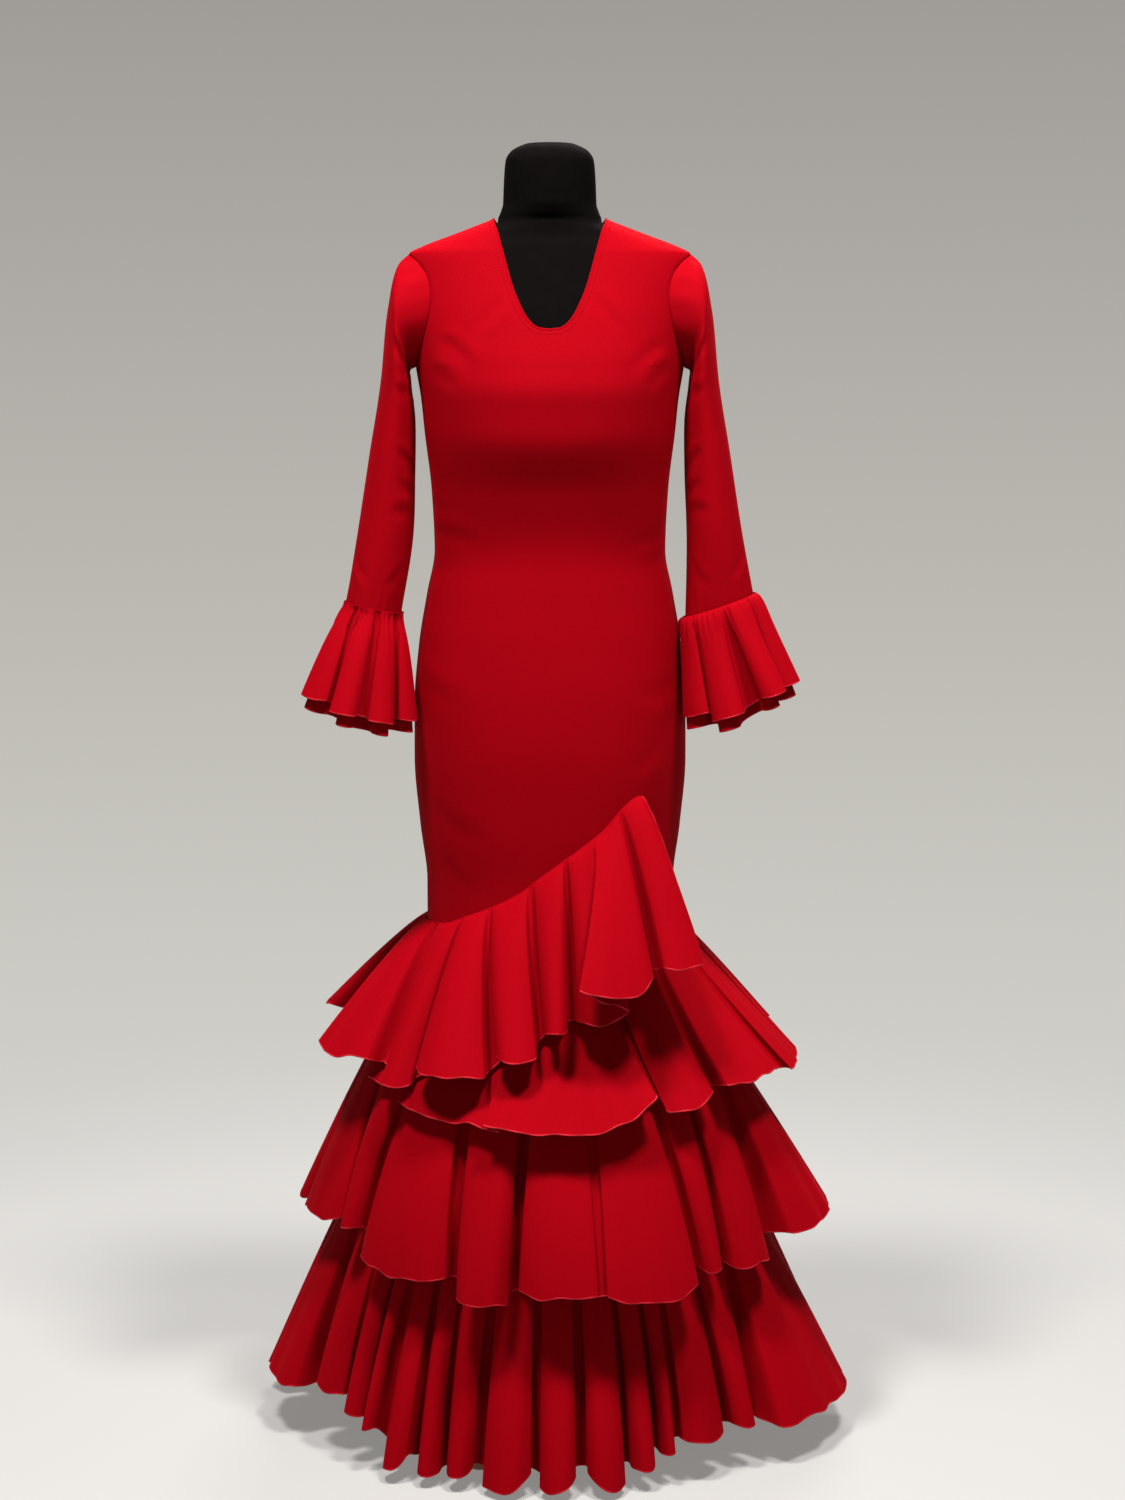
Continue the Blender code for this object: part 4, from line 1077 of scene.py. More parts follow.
def panel_heights():
    """The heights of a panel's rows, closer beside the armhole and where the neckline starts."""
    neck_z = FRONT_NECKLINE[-1].z
    below = np.arange(SHEATH_HEM_Z, 1.264, 7.5 * MM)
    beside = ARMHOLE_MID_Z - ARMHOLE_HALF_HEIGHT * np.cos(np.linspace(0, pi, 45))
    tip = FRONT_NECKLINE[0].z + 12.5 * MM * np.linspace(0, 1, 12) ** 2
    above = np.arange(1.4005, neck_z, 2.6 * MM)
    heights = np.unique(np.round(np.concatenate((below, beside, tip, above, [neck_z])), 5))
    kept = [heights[0]]
    for z in heights[1:]:
        if z - kept[-1] > 0.2 * MM or z == heights[-1]:
            kept.append(z)
    return np.array(kept)


def in_metres(creases, radius):
    """Creases on the body, with their angles turned into metres round it."""
    scale = radians(1) * radius
    return [c._replace(across0=c.across0 * scale, across1=c.across1 * scale) for c in creases]


def half_panel(side, back):
    """Outer and inner grid of one half of the front or back, from the side seam to the middle."""
    heights = panel_heights()[::-1]
    neckline = BACK_NECKLINE if back else FRONT_NECKLINE
    neck_at = back_neck_at if back else front_neck_at
    edge = 90 - armhole_reach(heights) - degrees(SEAM_GAP / 2 / SIDE_RADIUS)
    open_neck = heights > neckline[0].z
    middle = np.where(back, degrees(SEAM_GAP / 2 / BACK_RADIUS), 0.0)
    neck = body_angle(neck_at(heights)[:, 0], heights, back)
    inner = np.minimum(np.where(open_neck, neck, middle), edge)
    ends = [180 - deg if back else deg for deg in (edge, inner)]
    first, last = [oval_turn(deg, heights) for deg in ends]
    share = np.linspace(0, 1, PANEL_COLUMNS + 1)
    share = 0.5 * share + 0.5 * (0.5 - 0.5 * np.cos(pi * share))
    z = np.repeat(heights[:, None], PANEL_COLUMNS + 1, axis=1)
    turn = first[:, None] + (last - first)[:, None] * share[None]
    deg = side * oval_turn(turn, z, backwards=True)
    round_deg = np.where(deg < 0, deg + 360, deg) if back else deg
    creases = in_metres(BACK_CREASES if back else FRONT_CREASES, SIDE_RADIUS)
    out = crease_height(radians(1) * SIDE_RADIUS * round_deg, z, creases)
    flat = body_point(deg, z)
    to_side = np.linalg.norm(flat - flat[:, :1], axis=-1)
    to_inner = np.linalg.norm(flat - flat[:, -1:], axis=-1)
    # Creases fade out over 20 mm at the side seam and over 10 mm at the middle.
    out = out * np.clip(to_side / 0.02, 0, 1) * np.clip(to_inner / 0.01, 0, 1)
    out = out + 0.6 * seam_dip(to_side)
    if back:
        out = out + np.where(open_neck[:, None], 0.0, seam_dip(to_inner))
    normal = body_normal(deg, z)
    outer = flat + out[..., None] * normal
    inside = outer - WALL * normal
    if side > 0 and not back or side < 0 and back:
        outer, inside = outer[:, ::-1], inside[:, ::-1]
    return outer, inside


def edge_path(grid_pair, column):
    """The middle of a panel's edge, with its normals."""
    outer, inner = grid_pair
    return (outer[:, column] + inner[:, column]) / 2, unit(outer[:, column] - inner[:, column])


def inner_seam(path, normals, closed, step):
    """A seam's turned edges, behind the gap between two panels."""
    return roll_parts(
        path, normals, closed, half_height=1.6 * MM, half_depth=0.8 * MM, sides=6, bump=0.0, step=step
    )


def make_panels():
    """The sheath's front and two back panels, with the trims sewn to them."""
    left, right = half_panel(-1, False), half_panel(1, False)
    front = cloth_shell("sheath_front", [left, right])
    wear(front, "crepe", "dress_front")
    back_right, back_left = half_panel(1, True), half_panel(-1, True)
    right_piece = wear(cloth_shell("sheath_back_right", [back_right]), "crepe", "dress_back_right")
    left_piece = wear(cloth_shell("sheath_back_left", [back_left]), "crepe", "dress_back_left")

    # The neckline's edge is turned in and rolled, and a row of stitches holds it 6 mm below.
    heights = panel_heights()[::-1]
    front_rows = heights > FRONT_NECKLINE[0].z
    back_rows = heights > BACK_NECKLINE[0].z
    runs = []
    for pair, column, rows, down in (
        (left, -1, front_rows, True),
        (right, 0, front_rows, False),
        (back_right, -1, back_rows, True),
        (back_left, 0, back_rows, False),
    ):
        path, normals = edge_path(pair, column)
        path, normals = path[rows], normals[rows]
        runs.append((path, normals) if down else (path[::-1], normals[::-1]))
    path = np.concatenate([run[0] for run in runs] + [runs[0][0][:1]])
    normals = np.concatenate([run[1] for run in runs] + [runs[0][1][:1]])
    fresh = np.concatenate(([True], np.linalg.norm(np.diff(path, axis=0), axis=-1) > 1e-5))
    path, normals = path[fresh], normals[fresh]
    roll = roll_parts(
        path,
        normals,
        closed=True,
        half_height=NECK_ROLL_HALF_HEIGHT,
        half_depth=NECK_ROLL_HALF_DEPTH,
        sides=8,
        bump=0.0,
        step=2 * MM,
    )
    neck_edge = wear(joined_mesh("neck_edge", [roll], CREPE), "crepe")
    seams = []
    below = heights < ARMHOLE_MID_Z - ARMHOLE_HALF_HEIGHT
    above = (heights > ARMHOLE_MID_Z + ARMHOLE_HALF_HEIGHT) & (heights < 1.438)
    for side in (-1, 1):
        for rows in (below, above):
            z = heights[rows]
            out = body_normal(90.0 * side, z)
            seam = body_point(90.0 * side, z) - 1.2 * MM * out
            seams.append(inner_seam(seam, out, closed=False, step=4 * MM))
    side_seams = wear(joined_mesh("side_and_shoulder_seams", seams, CREPE), "crepe")
    tangent = unit(np.roll(path, -1, axis=0) - np.roll(path, 1, axis=0))
    away = unit(np.cross(tangent, normals))
    stitched = path + away * TOPSTITCH_DOWN + normals * (WALL / 2)
    parts = stitch_parts(
        stitched,
        normals,
        pitch=TOPSTITCH_PITCH,
        length=TOPSTITCH_LENGTH,
        thickness=TOPSTITCH_THICKNESS,
        lift=0.05 * MM,
    )
    stitches = wear(joined_mesh("neck_topstitch", parts, CREPE), "crepe")
    return front, left_piece, right_piece, neck_edge, stitches, side_seams


# ---------------------------------------------------------------- sleeves

SLEEVE_COLUMNS = 72
SLEEVE_ROWS = 110
SLEEVE_ROW_SPREAD = 1.15  # rows lie closer at the armhole
SLEEVE_RADIUS = 0.052  # an even one, for waves and creases round the arm
RING_SPREAD = 0.35  # how evenly a sleeve's rings count along it
RIGHT_CREASE = 0.85  # creases on the right sleeve are this much shallower
CAP_RIPPLE = (0.024, 0.5 * MM)  # wavelength and height
CAP_RIPPLE_DOWN = 0.012  # how far below the armhole the ripples are fullest
CAP_RIPPLE_SPREAD = 0.00018  # in square metres: how quickly they die away from there
WRIST_TUCK = (0.017, 0.6 * MM)
WRIST_TUCK_REACH = 0.018  # how far above the wrist they run


def smooth_tube(rings, share):
    """A smooth surface through rings of points, at shares of the way along them."""
    along = distances(rings.mean(axis=1))
    along = along + RING_SPREAD * np.arange(len(rings)) * along[-1] / len(rings)
    along /= along[-1]
    slopes = np.gradient(rings, along, axis=0)
    low = np.clip(np.searchsorted(along, share, side="right") - 1, 0, len(rings) - 2)
    span = (along[low + 1] - along[low])[:, None, None]
    t = (share - along[low])[:, None, None] / span
    return cubic(rings[low], rings[low + 1] - rings[low], slopes[low] * span, slopes[low + 1] * span, t)


def sleeve_rings(arm):
    """Rings of points from the armhole to the wrist, each starting outside and turning to the front."""
    turn = np.linspace(0, 2 * pi, SLEEVE_COLUMNS + 1)
    half_deg = ARMHOLE_HALF_DEG - degrees(SEAM_GAP / SIDE_RADIUS)
    half_height = ARMHOLE_HALF_HEIGHT - SEAM_GAP
    z = ARMHOLE_MID_Z + half_height * np.cos(turn)
    rings = [body_point(arm.side * (90 - half_deg * np.sin(turn)), z)]
    for ring in [*UPPER_SLEEVE, arm.wrist]:
        outer = np.array((arm.side * ring.outer_x, 0, ring.outer_z))
        inner = np.array((arm.side * ring.inner_x, 0, ring.inner_z))
        middle = (outer + inner) / 2 - np.array((0, ring.forward, 0))
        reach = (outer - inner) / 2
        depth = np.array((0, -ring.half_depth, 0))
        rings.append(middle + reach * np.cos(turn)[:, None] + depth * np.sin(turn)[:, None])
    return np.array(rings)


def make_sleeve(name, arm, seed):
    """A creased sleeve, and the seam that joins it to the armhole."""
    share = np.linspace(0, 1, SLEEVE_ROWS) ** SLEEVE_ROW_SPREAD
    grid = smooth_tube(sleeve_rings(arm), share)
    around = np.linspace(0, 360, SLEEVE_COLUMNS + 1)
    if arm.side > 0:
        grid, around = grid[:, ::-1], around[::-1]
    length = distances(grid.mean(axis=1))[-1]
    creases = [
        c._replace(
            across0=radians(c.across0) * SLEEVE_RADIUS,
            across1=radians(c.across1) * SLEEVE_RADIUS,
            up0=c.up0 * length,
            up1=c.up1 * length,
            depth=c.depth * (1.0 if arm.side < 0 else RIGHT_CREASE),
        )
        for c in SLEEVE_CREASES
    ]
    across = np.radians(around) * SLEEVE_RADIUS
    girth = 2 * pi * SLEEVE_RADIUS
    down = (share * length)[:, None]
    out = crease_height(across[None], down, creases)
    # Ease at the cap: the sleeve is fuller than the armhole, so it ripples just below the seam.
    ripple = waves(across, girth, [CAP_RIPPLE], seed)
    out = out + ripple[None] * np.exp(-((down - CAP_RIPPLE_DOWN) ** 2) / CAP_RIPPLE_SPREAD)
    # Small tucks where the cuff is sewn on.
    tucks = waves(across, girth, [WRIST_TUCK], seed + 1)
    to_wrist = length - down
    out = out + tucks[None] * np.exp(-((to_wrist / WRIST_TUCK_REACH) ** 2)) * np.clip(to_wrist / 0.004, 0, 1)
    grid = grid + (out + 0.5 * seam_dip(down))[..., None] * grid_normals(grid, True)
    normals = grid_normals(grid, True)
    inside = grid - WALL * normals
    # At the armhole the inner face is cut back along the body, so that it stays inside the panels.
    body_out = body_normal(angle_of(grid[0]), grid[0, :, 2])
    inside[0] = grid[0] + WALL * unit(-body_out - normals[0])
    piece = cloth_shell(name + "_crepe", [(grid, inside)])
    under = inner_seam(grid[0] - 1.3 * MM * body_out, body_out, closed=True, step=3 * MM)
    return wear(piece, "crepe", name), wear(joined_mesh(name + "_armhole_seam", [under], CREPE), "crepe")


# ---------------------------------------------------------------- flounces


def uneven(number, amount):
    """A stray that looks irregular from one fold to the next and is the same each time."""
    return amount * np.sin(2.4 * number + 0.7)


def plain_folds(start_deg, end_deg, count, radius, hem_z, valley):
    """Folds of about one size, for the sides and the back."""
    width = (end_deg - start_deg) / count
    gap = PLAIN_GAP * width
    shift = PLAIN_SHIFT * width
    folds = []
    for number in range(count):
        left = start_deg + number * width + uneven(number, shift) * (number > 0)
        right = start_deg + (number + 1) * width + uneven(number + 1, shift) * (number < count - 1)
        folds.append(
            Fold(
                (left + right) / 2,
                left + gap / 2,
                right - gap / 2,
                radius + uneven(3 * number, PLAIN_WAVE),
                hem_z + uneven(5 * number + 1, PLAIN_WAVE),
                valley,
            )
        )
    return folds


def fold_points(folds, closed, start_open, end_open):
    """The hem's outline as (seam angle, angle, radius, height, height of the fold over its dips)."""
    points = []
    count = len(folds)
    for number, fold in enumerate(folds):
        before = folds[number - 1]
        after = folds[(number + 1) % count]
        first = number == 0 and not closed
        last = number == count - 1 and not closed
        turn_before = -360 if number == 0 and closed else 0
        turn_after = 360 if number == count - 1 and closed else 0
        seam_start = start_open if first else (before.seam_deg + turn_before + fold.seam_deg) / 2
        seam_end = end_open if last else (after.seam_deg + turn_after + fold.seam_deg) / 2
        width = fold.right_deg - fold.left_deg
        over_before = not first and before.right_deg + turn_before > fold.left_deg
        under_after = not last and after.left_deg + turn_after < fold.right_deg
        for across in FOLD_ACROSS:
            left_side = across < 0.5
            depth = FOLD_EDGE * abs(2 * across - 1) ** FOLD_ROUNDNESS
            sink = depth * (before.valley if left_side and not first else fold.valley)
            if left_side and first:
                sink = 0.0
            if left_side and over_before:
                sink = depth * FOLD_LAP * (fold.radius - before.radius)
            if not left_side and under_after:
                sink = -depth * FOLD_LAP * (after.radius - fold.radius)
            half_seam = fold.seam_deg - seam_start if left_side else seam_end - fold.seam_deg
            share = 1.0 if (first and across == 0) or (last and across == 1) else FOLD_SEAM_SHARE
            seam_deg = fold.seam_deg + share * (2 * across - 1) * half_seam
            rise = (fold.left_rise if left_side else fold.right_rise) * abs(2 * across - 1) ** RISE_ROUNDNESS
            deg = fold.left_deg + across * width
            left_dip = 0.0 if first else before.valley
            stand = left_dip + across * (fold.valley - left_dip) - sink
            points.append((seam_deg, deg, fold.radius - sink, fold.hem_z + rise, max(0.0, stand)))
        if last or under_after:
            continue
        gap = after.left_deg + turn_after - fold.right_deg
        undercut = min(
            degrees(UNDERCUT / fold.radius),
            UNDERCUT_SHARE * width,
            UNDERCUT_SHARE * (after.right_deg - after.left_deg),
        )
        floor = min(fold.radius, after.radius) - fold.valley
        right_z = fold.hem_z + fold.right_rise
        left_z = after.hem_z + after.left_rise
        for part in VALLEY_FLOOR:
            side_seam = seam_end - fold.seam_deg if part < 0.5 else after.seam_deg + turn_after - seam_end
            floor_deg = fold.right_deg - undercut if part < 0.5 else fold.right_deg + gap + undercut
            points.append(
                (
                    seam_end + (2 * part - 1) * (1 - FOLD_SEAM_SHARE) * side_seam,
                    floor_deg,
                    floor,
                    right_z + part * (left_z - right_z),
                    0.0,
                )
            )
    if closed:
        seam_deg, deg, radius, z, stand = points[0]
        points.append((seam_deg + 360, deg + 360, radius, z, stand))
    return np.array(points)


def rounded_run(points, closed, step):
    """A cubic B-spline along the hem's points, with samples about step apart."""
    if closed:
        turn = np.array((360.0, 360.0, 0.0, 0.0, 0.0))
        control = np.concatenate([points[-2:-1] - turn, points, points[1:2] + turn])
    else:
        control = np.concatenate([2 * points[:1] - points[1:2], points, 2 * points[-1:] - points[-2:-1]])
    places = polar(points[:, 1], points[:, 2], points[:, 3])
    spans = np.linalg.norm(np.diff(places, axis=0), axis=-1)
    run = []
    for number, span in enumerate(spans):
        count = max(3, int(np.ceil(span / step)))
        t = np.arange(count)[:, None] / count
        weights = ((1 - t) ** 3, 3 * t**3 - 6 * t**2 + 4, -3 * t**3 + 3 * t**2 + 3 * t + 1, t**3)
        run.append(sum(weight * control[number + k] for k, weight in enumerate(weights)) / 6)
    start = run[0][:1] + (turn if closed else 0)
    end = start if closed else points[-1:]
    return np.concatenate(run + [end])


# The rows of a flounce, as shares of its drop: closer at the seam and at the hem.
DROPS = np.array(
    (0, 0.008, 0.02, 0.035, 0.055, 0.08, 0.11, 0.15, 0.2, 0.26, 0.32, 0.39, 0.46, 0.53)
    + (0.6, 0.67, 0.74, 0.8, 0.86, 0.91, 0.95, 0.98, 1.0)
)
# How a flounce hangs. gather is the exponent at which its cloth spreads sideways down its drop, and
# fullness the one at which its folds stand out. Then come heights: the bow of its front, waves in its
# crests and in its hem's height, the hem's flutter, and the puckers and the puffed edge at its seam. The
# seed sets where its waves start.
Habit = namedtuple("Habit", "gather fullness bow crest hem_wave flutter pucker puff seed")
# Wavelengths along the cloth, each with its share of the height.
CREST_WAVES = ((0.14, 1.0), (0.06, 0.6))
HEM_WAVES = ((0.10, 1.0), (0.045, 0.6))
FLUTTER_WAVES = ((0.034, 1.0),)
PUCKER_WAVES = ((0.016, 1.0), (0.010, 0.5))
SMOOTH_END = 0.030  # how far from a strip's end its waves set in
PUCKER_START = 0.004  # how far below the seam the puckers set in
PUCKER_REACH = 0.016
PUFF_REACH = 0.012
FLUTTER_REACH = 0.028


def scaled(sizes, height):
    """Wavelengths with their heights, from wavelengths with shares of a height."""
    return [(wavelength, share * height) for wavelength, share in sizes]


def hang(points, closed, seam_point, hem_point, habit, step):
    """The cloth grid of a flounce, from its seam down to its hem."""
    run = rounded_run(points, closed, step)
    seam_deg, deg, radius, z, stand = run.T
    along = distances(polar(deg, radius, z))
    length = along[-1]
    free = 1.0 if closed else np.clip(np.minimum(along, length - along) / SMOOTH_END, 0, 1)
    radius = radius + free * waves(along, length, scaled(CREST_WAVES, habit.crest), habit.seed)
    z = z + free * waves(along, length, scaled(HEM_WAVES, habit.hem_wave), habit.seed + 1)
    top = seam_point(seam_deg)
    hem = hem_point(deg, radius, z)
    plain = hem_point(seam_deg, radius, z)
    drop = DROPS[:, None, None]
    grid = top[None] * (1 - drop) + plain[None] * drop + (hem - plain)[None] * drop**habit.gather
    # The front bows out or in between seam and hem, the sides and the back don't.
    level = unit(hem * LEVEL)
    bow = habit.bow * np.clip(-level[:, 1:2], 0, 1)
    grid = grid + (4 * drop * (1 - drop)) * (bow * level)[None]
    outward = unit(hem_point(deg, radius + MM, z) - hem)
    grid = grid + (drop**habit.fullness - drop) * (stand[:, None] * outward)[None]
    slant = np.linalg.norm(hem - top, axis=-1)[None]
    down = slant * DROPS[:, None]
    to_hem = slant * (1 - DROPS[:, None])
    seam_along = distances(top)
    gathers = np.abs(waves(seam_along, seam_along[-1], PUCKER_WAVES, habit.seed + 2))[None]
    pucker = habit.pucker * gathers * np.exp(-down / PUCKER_REACH) * np.clip(down / PUCKER_START, 0, 1)
    puff = habit.puff * (0.6 + 0.4 * gathers) * (down / PUFF_REACH) * np.exp(1 - down / PUFF_REACH)
    flutter = waves(along, length, scaled(FLUTTER_WAVES, habit.flutter), habit.seed + 3)[None]
    flutter = flutter * np.exp(-to_hem / FLUTTER_REACH)
    return grid + (pucker + puff + flutter)[..., None] * grid_normals(grid, closed)


REACH_STEP = 4 * MM
REACH_ROWS = 220
SIDE_SEAM_DEG = 90  # the top flounce's back is sewn to the second flounce here
SIDE_SEAM_FREE_DEG = 5  # and is lifted off it only from here on


def reach_cells(grid):
    """Which row and column of a reach map each point falls in."""
    row = np.clip(grid[..., 2] / REACH_STEP, 0, REACH_ROWS - 1).astype(int)
    return row, (angle_of(grid) % 360).astype(int) % 360


def reach_map(grid):
    """The greatest distance from the Z axis of a flounce, at each degree and each 4 mm of height."""
    fine = grid
    for axis, times in ((0, 4), (1, 2)):
        count = fine.shape[axis]
        at = np.linspace(0, count - 1, (count - 1) * times + 1)
        low = np.minimum(at.astype(int), count - 2)
        part = (at - low).reshape((-1, 1, 1) if axis == 0 else (1, -1, 1))
        fine = np.take(fine, low, axis) * (1 - part) + np.take(fine, low + 1, axis) * part
    table = np.zeros((REACH_ROWS, 360))
    np.maximum.at(table, reach_cells(fine), np.hypot(fine[..., 0], fine[..., 1]))
    spread = [np.roll(table, shift, axis) for axis in (0, 1) for shift in (-1, 1)]
    return np.maximum.reduce([table, *spread])


def lift_over(grid, table, clearance):
    """The same flounce, moved out where it would sink into the one below it."""
    radius = np.hypot(grid[..., 0], grid[..., 1])
    push = np.maximum(0.0, table[reach_cells(grid)] + clearance - radius)
    # The push spreads once to the points around it, then is smoothed twice.
    for widening in (True, False, False):
        wide = np.pad(push, 1, mode="edge")
        around = (wide[:-2, 1:-1] + wide[2:, 1:-1] + wide[1:-1, :-2] + wide[1:-1, 2:]) / 4
        push = np.maximum(push, around) if widening else 0.5 * push + 0.5 * around
    push[0] = 0.0
    push = push * np.clip(np.abs(angle_of(grid) % 360 - SIDE_SEAM_DEG) / SIDE_SEAM_FREE_DEG, 0, 1)
    return grid + unit(grid * LEVEL) * push[..., None]


SOFT_CREASE = 10 * MM  # a fold with a shallower dip beside it is only a soft crease
LAYER_CLEARANCE = 3.0 * MM
SKIRT_STEP = 4.5 * MM  # between a flounce's columns, at its hem
CUFF_STEP = 2.6 * MM
HEM_HALF_HEIGHT = 1.0 * MM
HEM_HALF_DEPTH = 0.8 * MM
SEAM_ROLL_HALF_HEIGHT = 1.5 * MM
CUFF_SEAM_HALF_HEIGHT = 0.8 * MM
WRAP = 1.2 * MM  # half of one overlock stitch
WRAP_BUMP = 0.12  # how much thicker the roll is under the thread


def hem_roll(name, grid, closed, up_the_end=False):
    """The overlocked roll along a flounce's hem, which may turn up its free end."""
    normals = grid_normals(grid, closed)
    middle = grid - WALL / 2 * normals
    path, out = middle[-1], normals[-1]
    if up_the_end:
        path = np.concatenate([path, middle[-2::-1, -1]])
        out = np.concatenate([out, normals[-2::-1, -1]])
    roll = roll_parts(
        path, out, closed, HEM_HALF_HEIGHT, HEM_HALF_DEPTH, sides=6, bump=WRAP_BUMP, step=WRAP
    )
    return wear(joined_mesh(name, [roll], THREAD), "crepe")


def seam_roll(name, grid, closed, half_height=SEAM_ROLL_HALF_HEIGHT):
    """The narrow turned edge along which a flounce is sewn on."""
    normals = grid_normals(grid, closed)
    path = grid[0] - 0.2 * MM * normals[0]
    roll = roll_parts(
        path, normals[0], closed, half_height, 0.6 * half_height, sides=6, bump=0.0, step=3 * MM
    )
    return wear(joined_mesh(name, [roll], CREPE), "crepe")


def shell_from(name, grid, closed, *nodes):
    """The cloth itself, from the grid of its outer face."""
    normals = grid_normals(grid, closed)
    return wear(cloth_shell(name, [(grid, grid - WALL * normals)]), "crepe", *nodes)


def skirt_seam(table):
    """Where a flounce is sewn to the dress, as a function of the angle."""
    at = smooth_curve(table)
    return lambda deg: body_point(deg, at(deg)[:, 0], SEAM_GAP + WALL)


def make_skirt_flounce(node_name, folds, seam, habit, ends=None, up_the_end=False, below=None):
    """A flounce with its hem and seam, and its grid. One with no ends runs all round."""
    closed = ends is None
    start, end = (0, 0) if closed else ends
    points = fold_points(folds, closed, start, end)
    grid = hang(points, closed, skirt_seam(seam), polar, habit, SKIRT_STEP)
    if below is not None:
        grid = lift_over(grid, reach_map(below), LAYER_CLEARANCE)
    piece = shell_from(node_name + "_crepe", grid, closed, node_name)
    hem = hem_roll(node_name + "_hem", grid, closed, up_the_end)
    sewn = seam_roll(node_name + "_seam", grid, closed)
    return (piece, hem, sewn), grid


def deepened(folds, least):
    """The same folds with no dip shallower than that, but for soft creases, which stay shallow.

    lift_over keeps the deeper dips off what lies below them.
    """
    return [
        fold._replace(valley=max(fold.valley, least)) if fold.valley >= SOFT_CREASE else fold
        for fold in folds
    ]


def make_flounces():
    """The four flounces of the skirt, from the third up and then the bottom one."""
    habit = Habit(
        gather=1.15,
        fullness=0.55,
        bow=0.0,
        crest=1.8 * MM,
        hem_wave=1.9 * MM,
        flutter=0.4 * MM,
        pucker=0.3 * MM,
        puff=0.0,
        seed=11,
    )
    made = {}
    third = THIRD_FOLDS + plain_folds(96, 265, 11, radius=0.322, hem_z=0.246, valley=0.034)
    made["third"], third_grid = make_skirt_flounce(
        "flounce_third",
        deepened(third, THIRD_DIP),
        THIRD_SEAM,
        habit._replace(gather=0.85, fullness=0.65, bow=THIRD_BOW, puff=1.2 * MM, pucker=0.6 * MM, seed=31),
    )
    made["second"], second_grid = make_skirt_flounce(
        "flounce_second",
        deepened(SECOND_FOLDS, SECOND_DIP),
        SECOND_SEAM,
        habit._replace(bow=SECOND_BOW, seed=21),
        SECOND_ENDS,
        below=third_grid,
    )
    # The first fold at the back lies on the second flounce's last, and the last meets the front's first.
    back = plain_folds(-270, -100, 9, radius=0.300, hem_z=0.452, valley=0.030)
    back[0] = back[0]._replace(left_deg=-270, radius=0.302, hem_z=0.436)
    back[-1] = back[-1]._replace(radius=0.293, hem_z=0.482)
    made["top"], _ = make_skirt_flounce(
        "flounce_top",
        deepened(back + TOP_FOLDS, TOP_DIP),
        TOP_SEAM,
        habit,
        TOP_ENDS,
        up_the_end=True,
        below=second_grid,
    )
    bottom = BOTTOM_FOLDS + plain_folds(87, 272, 14, radius=0.350, hem_z=0.030, valley=0.044)
    made["bottom"], _ = make_skirt_flounce(
        "flounce_bottom",
        bottom,
        BOTTOM_SEAM,
        habit._replace(gather=0.7, fullness=0.8, bow=BOTTOM_BOW, puff=1.5 * MM, pucker=0.8 * MM, seed=41),
    )
    return made


def mixed_ring(first, second, part):
    """A sleeve ring that part of the way from the first to the second."""
    return SleeveRing(*[a + (b - a) * part for a, b in zip(first, second)])


def under_layer(folds):
    """The folds of a cuff's under layer, from those of its top one."""
    return [
        fold._replace(
            left_deg=fold.left_deg + CUFF_LAYER_DEG,
            right_deg=fold.right_deg - CUFF_LAYER_DEG,
            radius=fold.radius - CUFF_LAYER_STEP,
            valley=fold.valley + CUFF_LAYER_DIP,
        )
        for fold in folds
    ]


def make_cuff(node_name, arm, folds, under, seed):
    """One layer of a cuff, a gathered flounce round the wrist. Its angles turn away from the body."""
    drop = CUFF_LAYER_DROP if under else 0.0
    out = 0.0 if under else CUFF_EASE + CLOTH
    up = CUFF_OVERLAP / (UPPER_SLEEVE[-1].outer_z - arm.wrist.outer_z)
    ring = arm.wrist if under else mixed_ring(arm.wrist, UPPER_SLEEVE[-1], up)
    outer = np.array((arm.side * ring.outer_x, 0, ring.outer_z))
    inner = np.array((arm.side * ring.inner_x, 0, ring.inner_z))
    along = unit(outer - inner)
    down = unit(np.cross(along, (0, arm.side, 0)))
    down = down if down[2] < 0 else -down
    half_width = np.linalg.norm(outer - inner) / 2 + out
    half_depth = ring.half_depth + out
    start = (outer + inner) / 2 - np.array((0, ring.forward, 0)) + down * (3 * SEAM_GAP if under else 0.0)

    def seam_point(deg):
        angle = np.radians(deg)
        across = along * (half_width * np.sin(angle))[:, None]
        return start + across + polar(0.0, half_depth * np.cos(angle), 0.0)

    def hem_point(deg, radius, lift):
        angle = np.radians(deg)
        x = arm.cuff_x + radius * np.sin(angle)
        slope = (arm.outer_hem_z - arm.inner_hem_z) / CUFF_WIDTH
        z = (arm.outer_hem_z + arm.inner_hem_z) / 2 + slope * radius * np.sin(angle) - drop + lift
        return np.stack((arm.side * x, -CUFF_FORWARD - radius * np.cos(angle), z), -1)

    folds = deepened(folds, CUFF_DIP)
    points = fold_points(under_layer(folds) if under else folds, True, 0, 0)
    habit = Habit(
        gather=0.8,
        fullness=0.7,
        bow=0.0,
        crest=0.4 * MM,
        hem_wave=0.6 * MM,
        flutter=0.2 * MM,
        pucker=0.0 if under else 1.2 * MM,
        puff=0.0 if under else 3.0 * MM,
        seed=seed,
    )
    grid = hang(points, True, seam_point, hem_point, habit, CUFF_STEP)
    if arm.side < 0:
        grid = grid[:, ::-1]
    piece = shell_from(node_name + "_crepe", grid, True, node_name)
    made = [piece, hem_roll(node_name + "_hem", grid, True)]
    if not under:
        made.append(seam_roll(node_name + "_seam", grid, True, CUFF_SEAM_HALF_HEIGHT))
    return made


UNDERSKIRT_COLUMNS = 120
UNDERSKIRT_RADIUS = 0.2  # an even one, for the waves round it


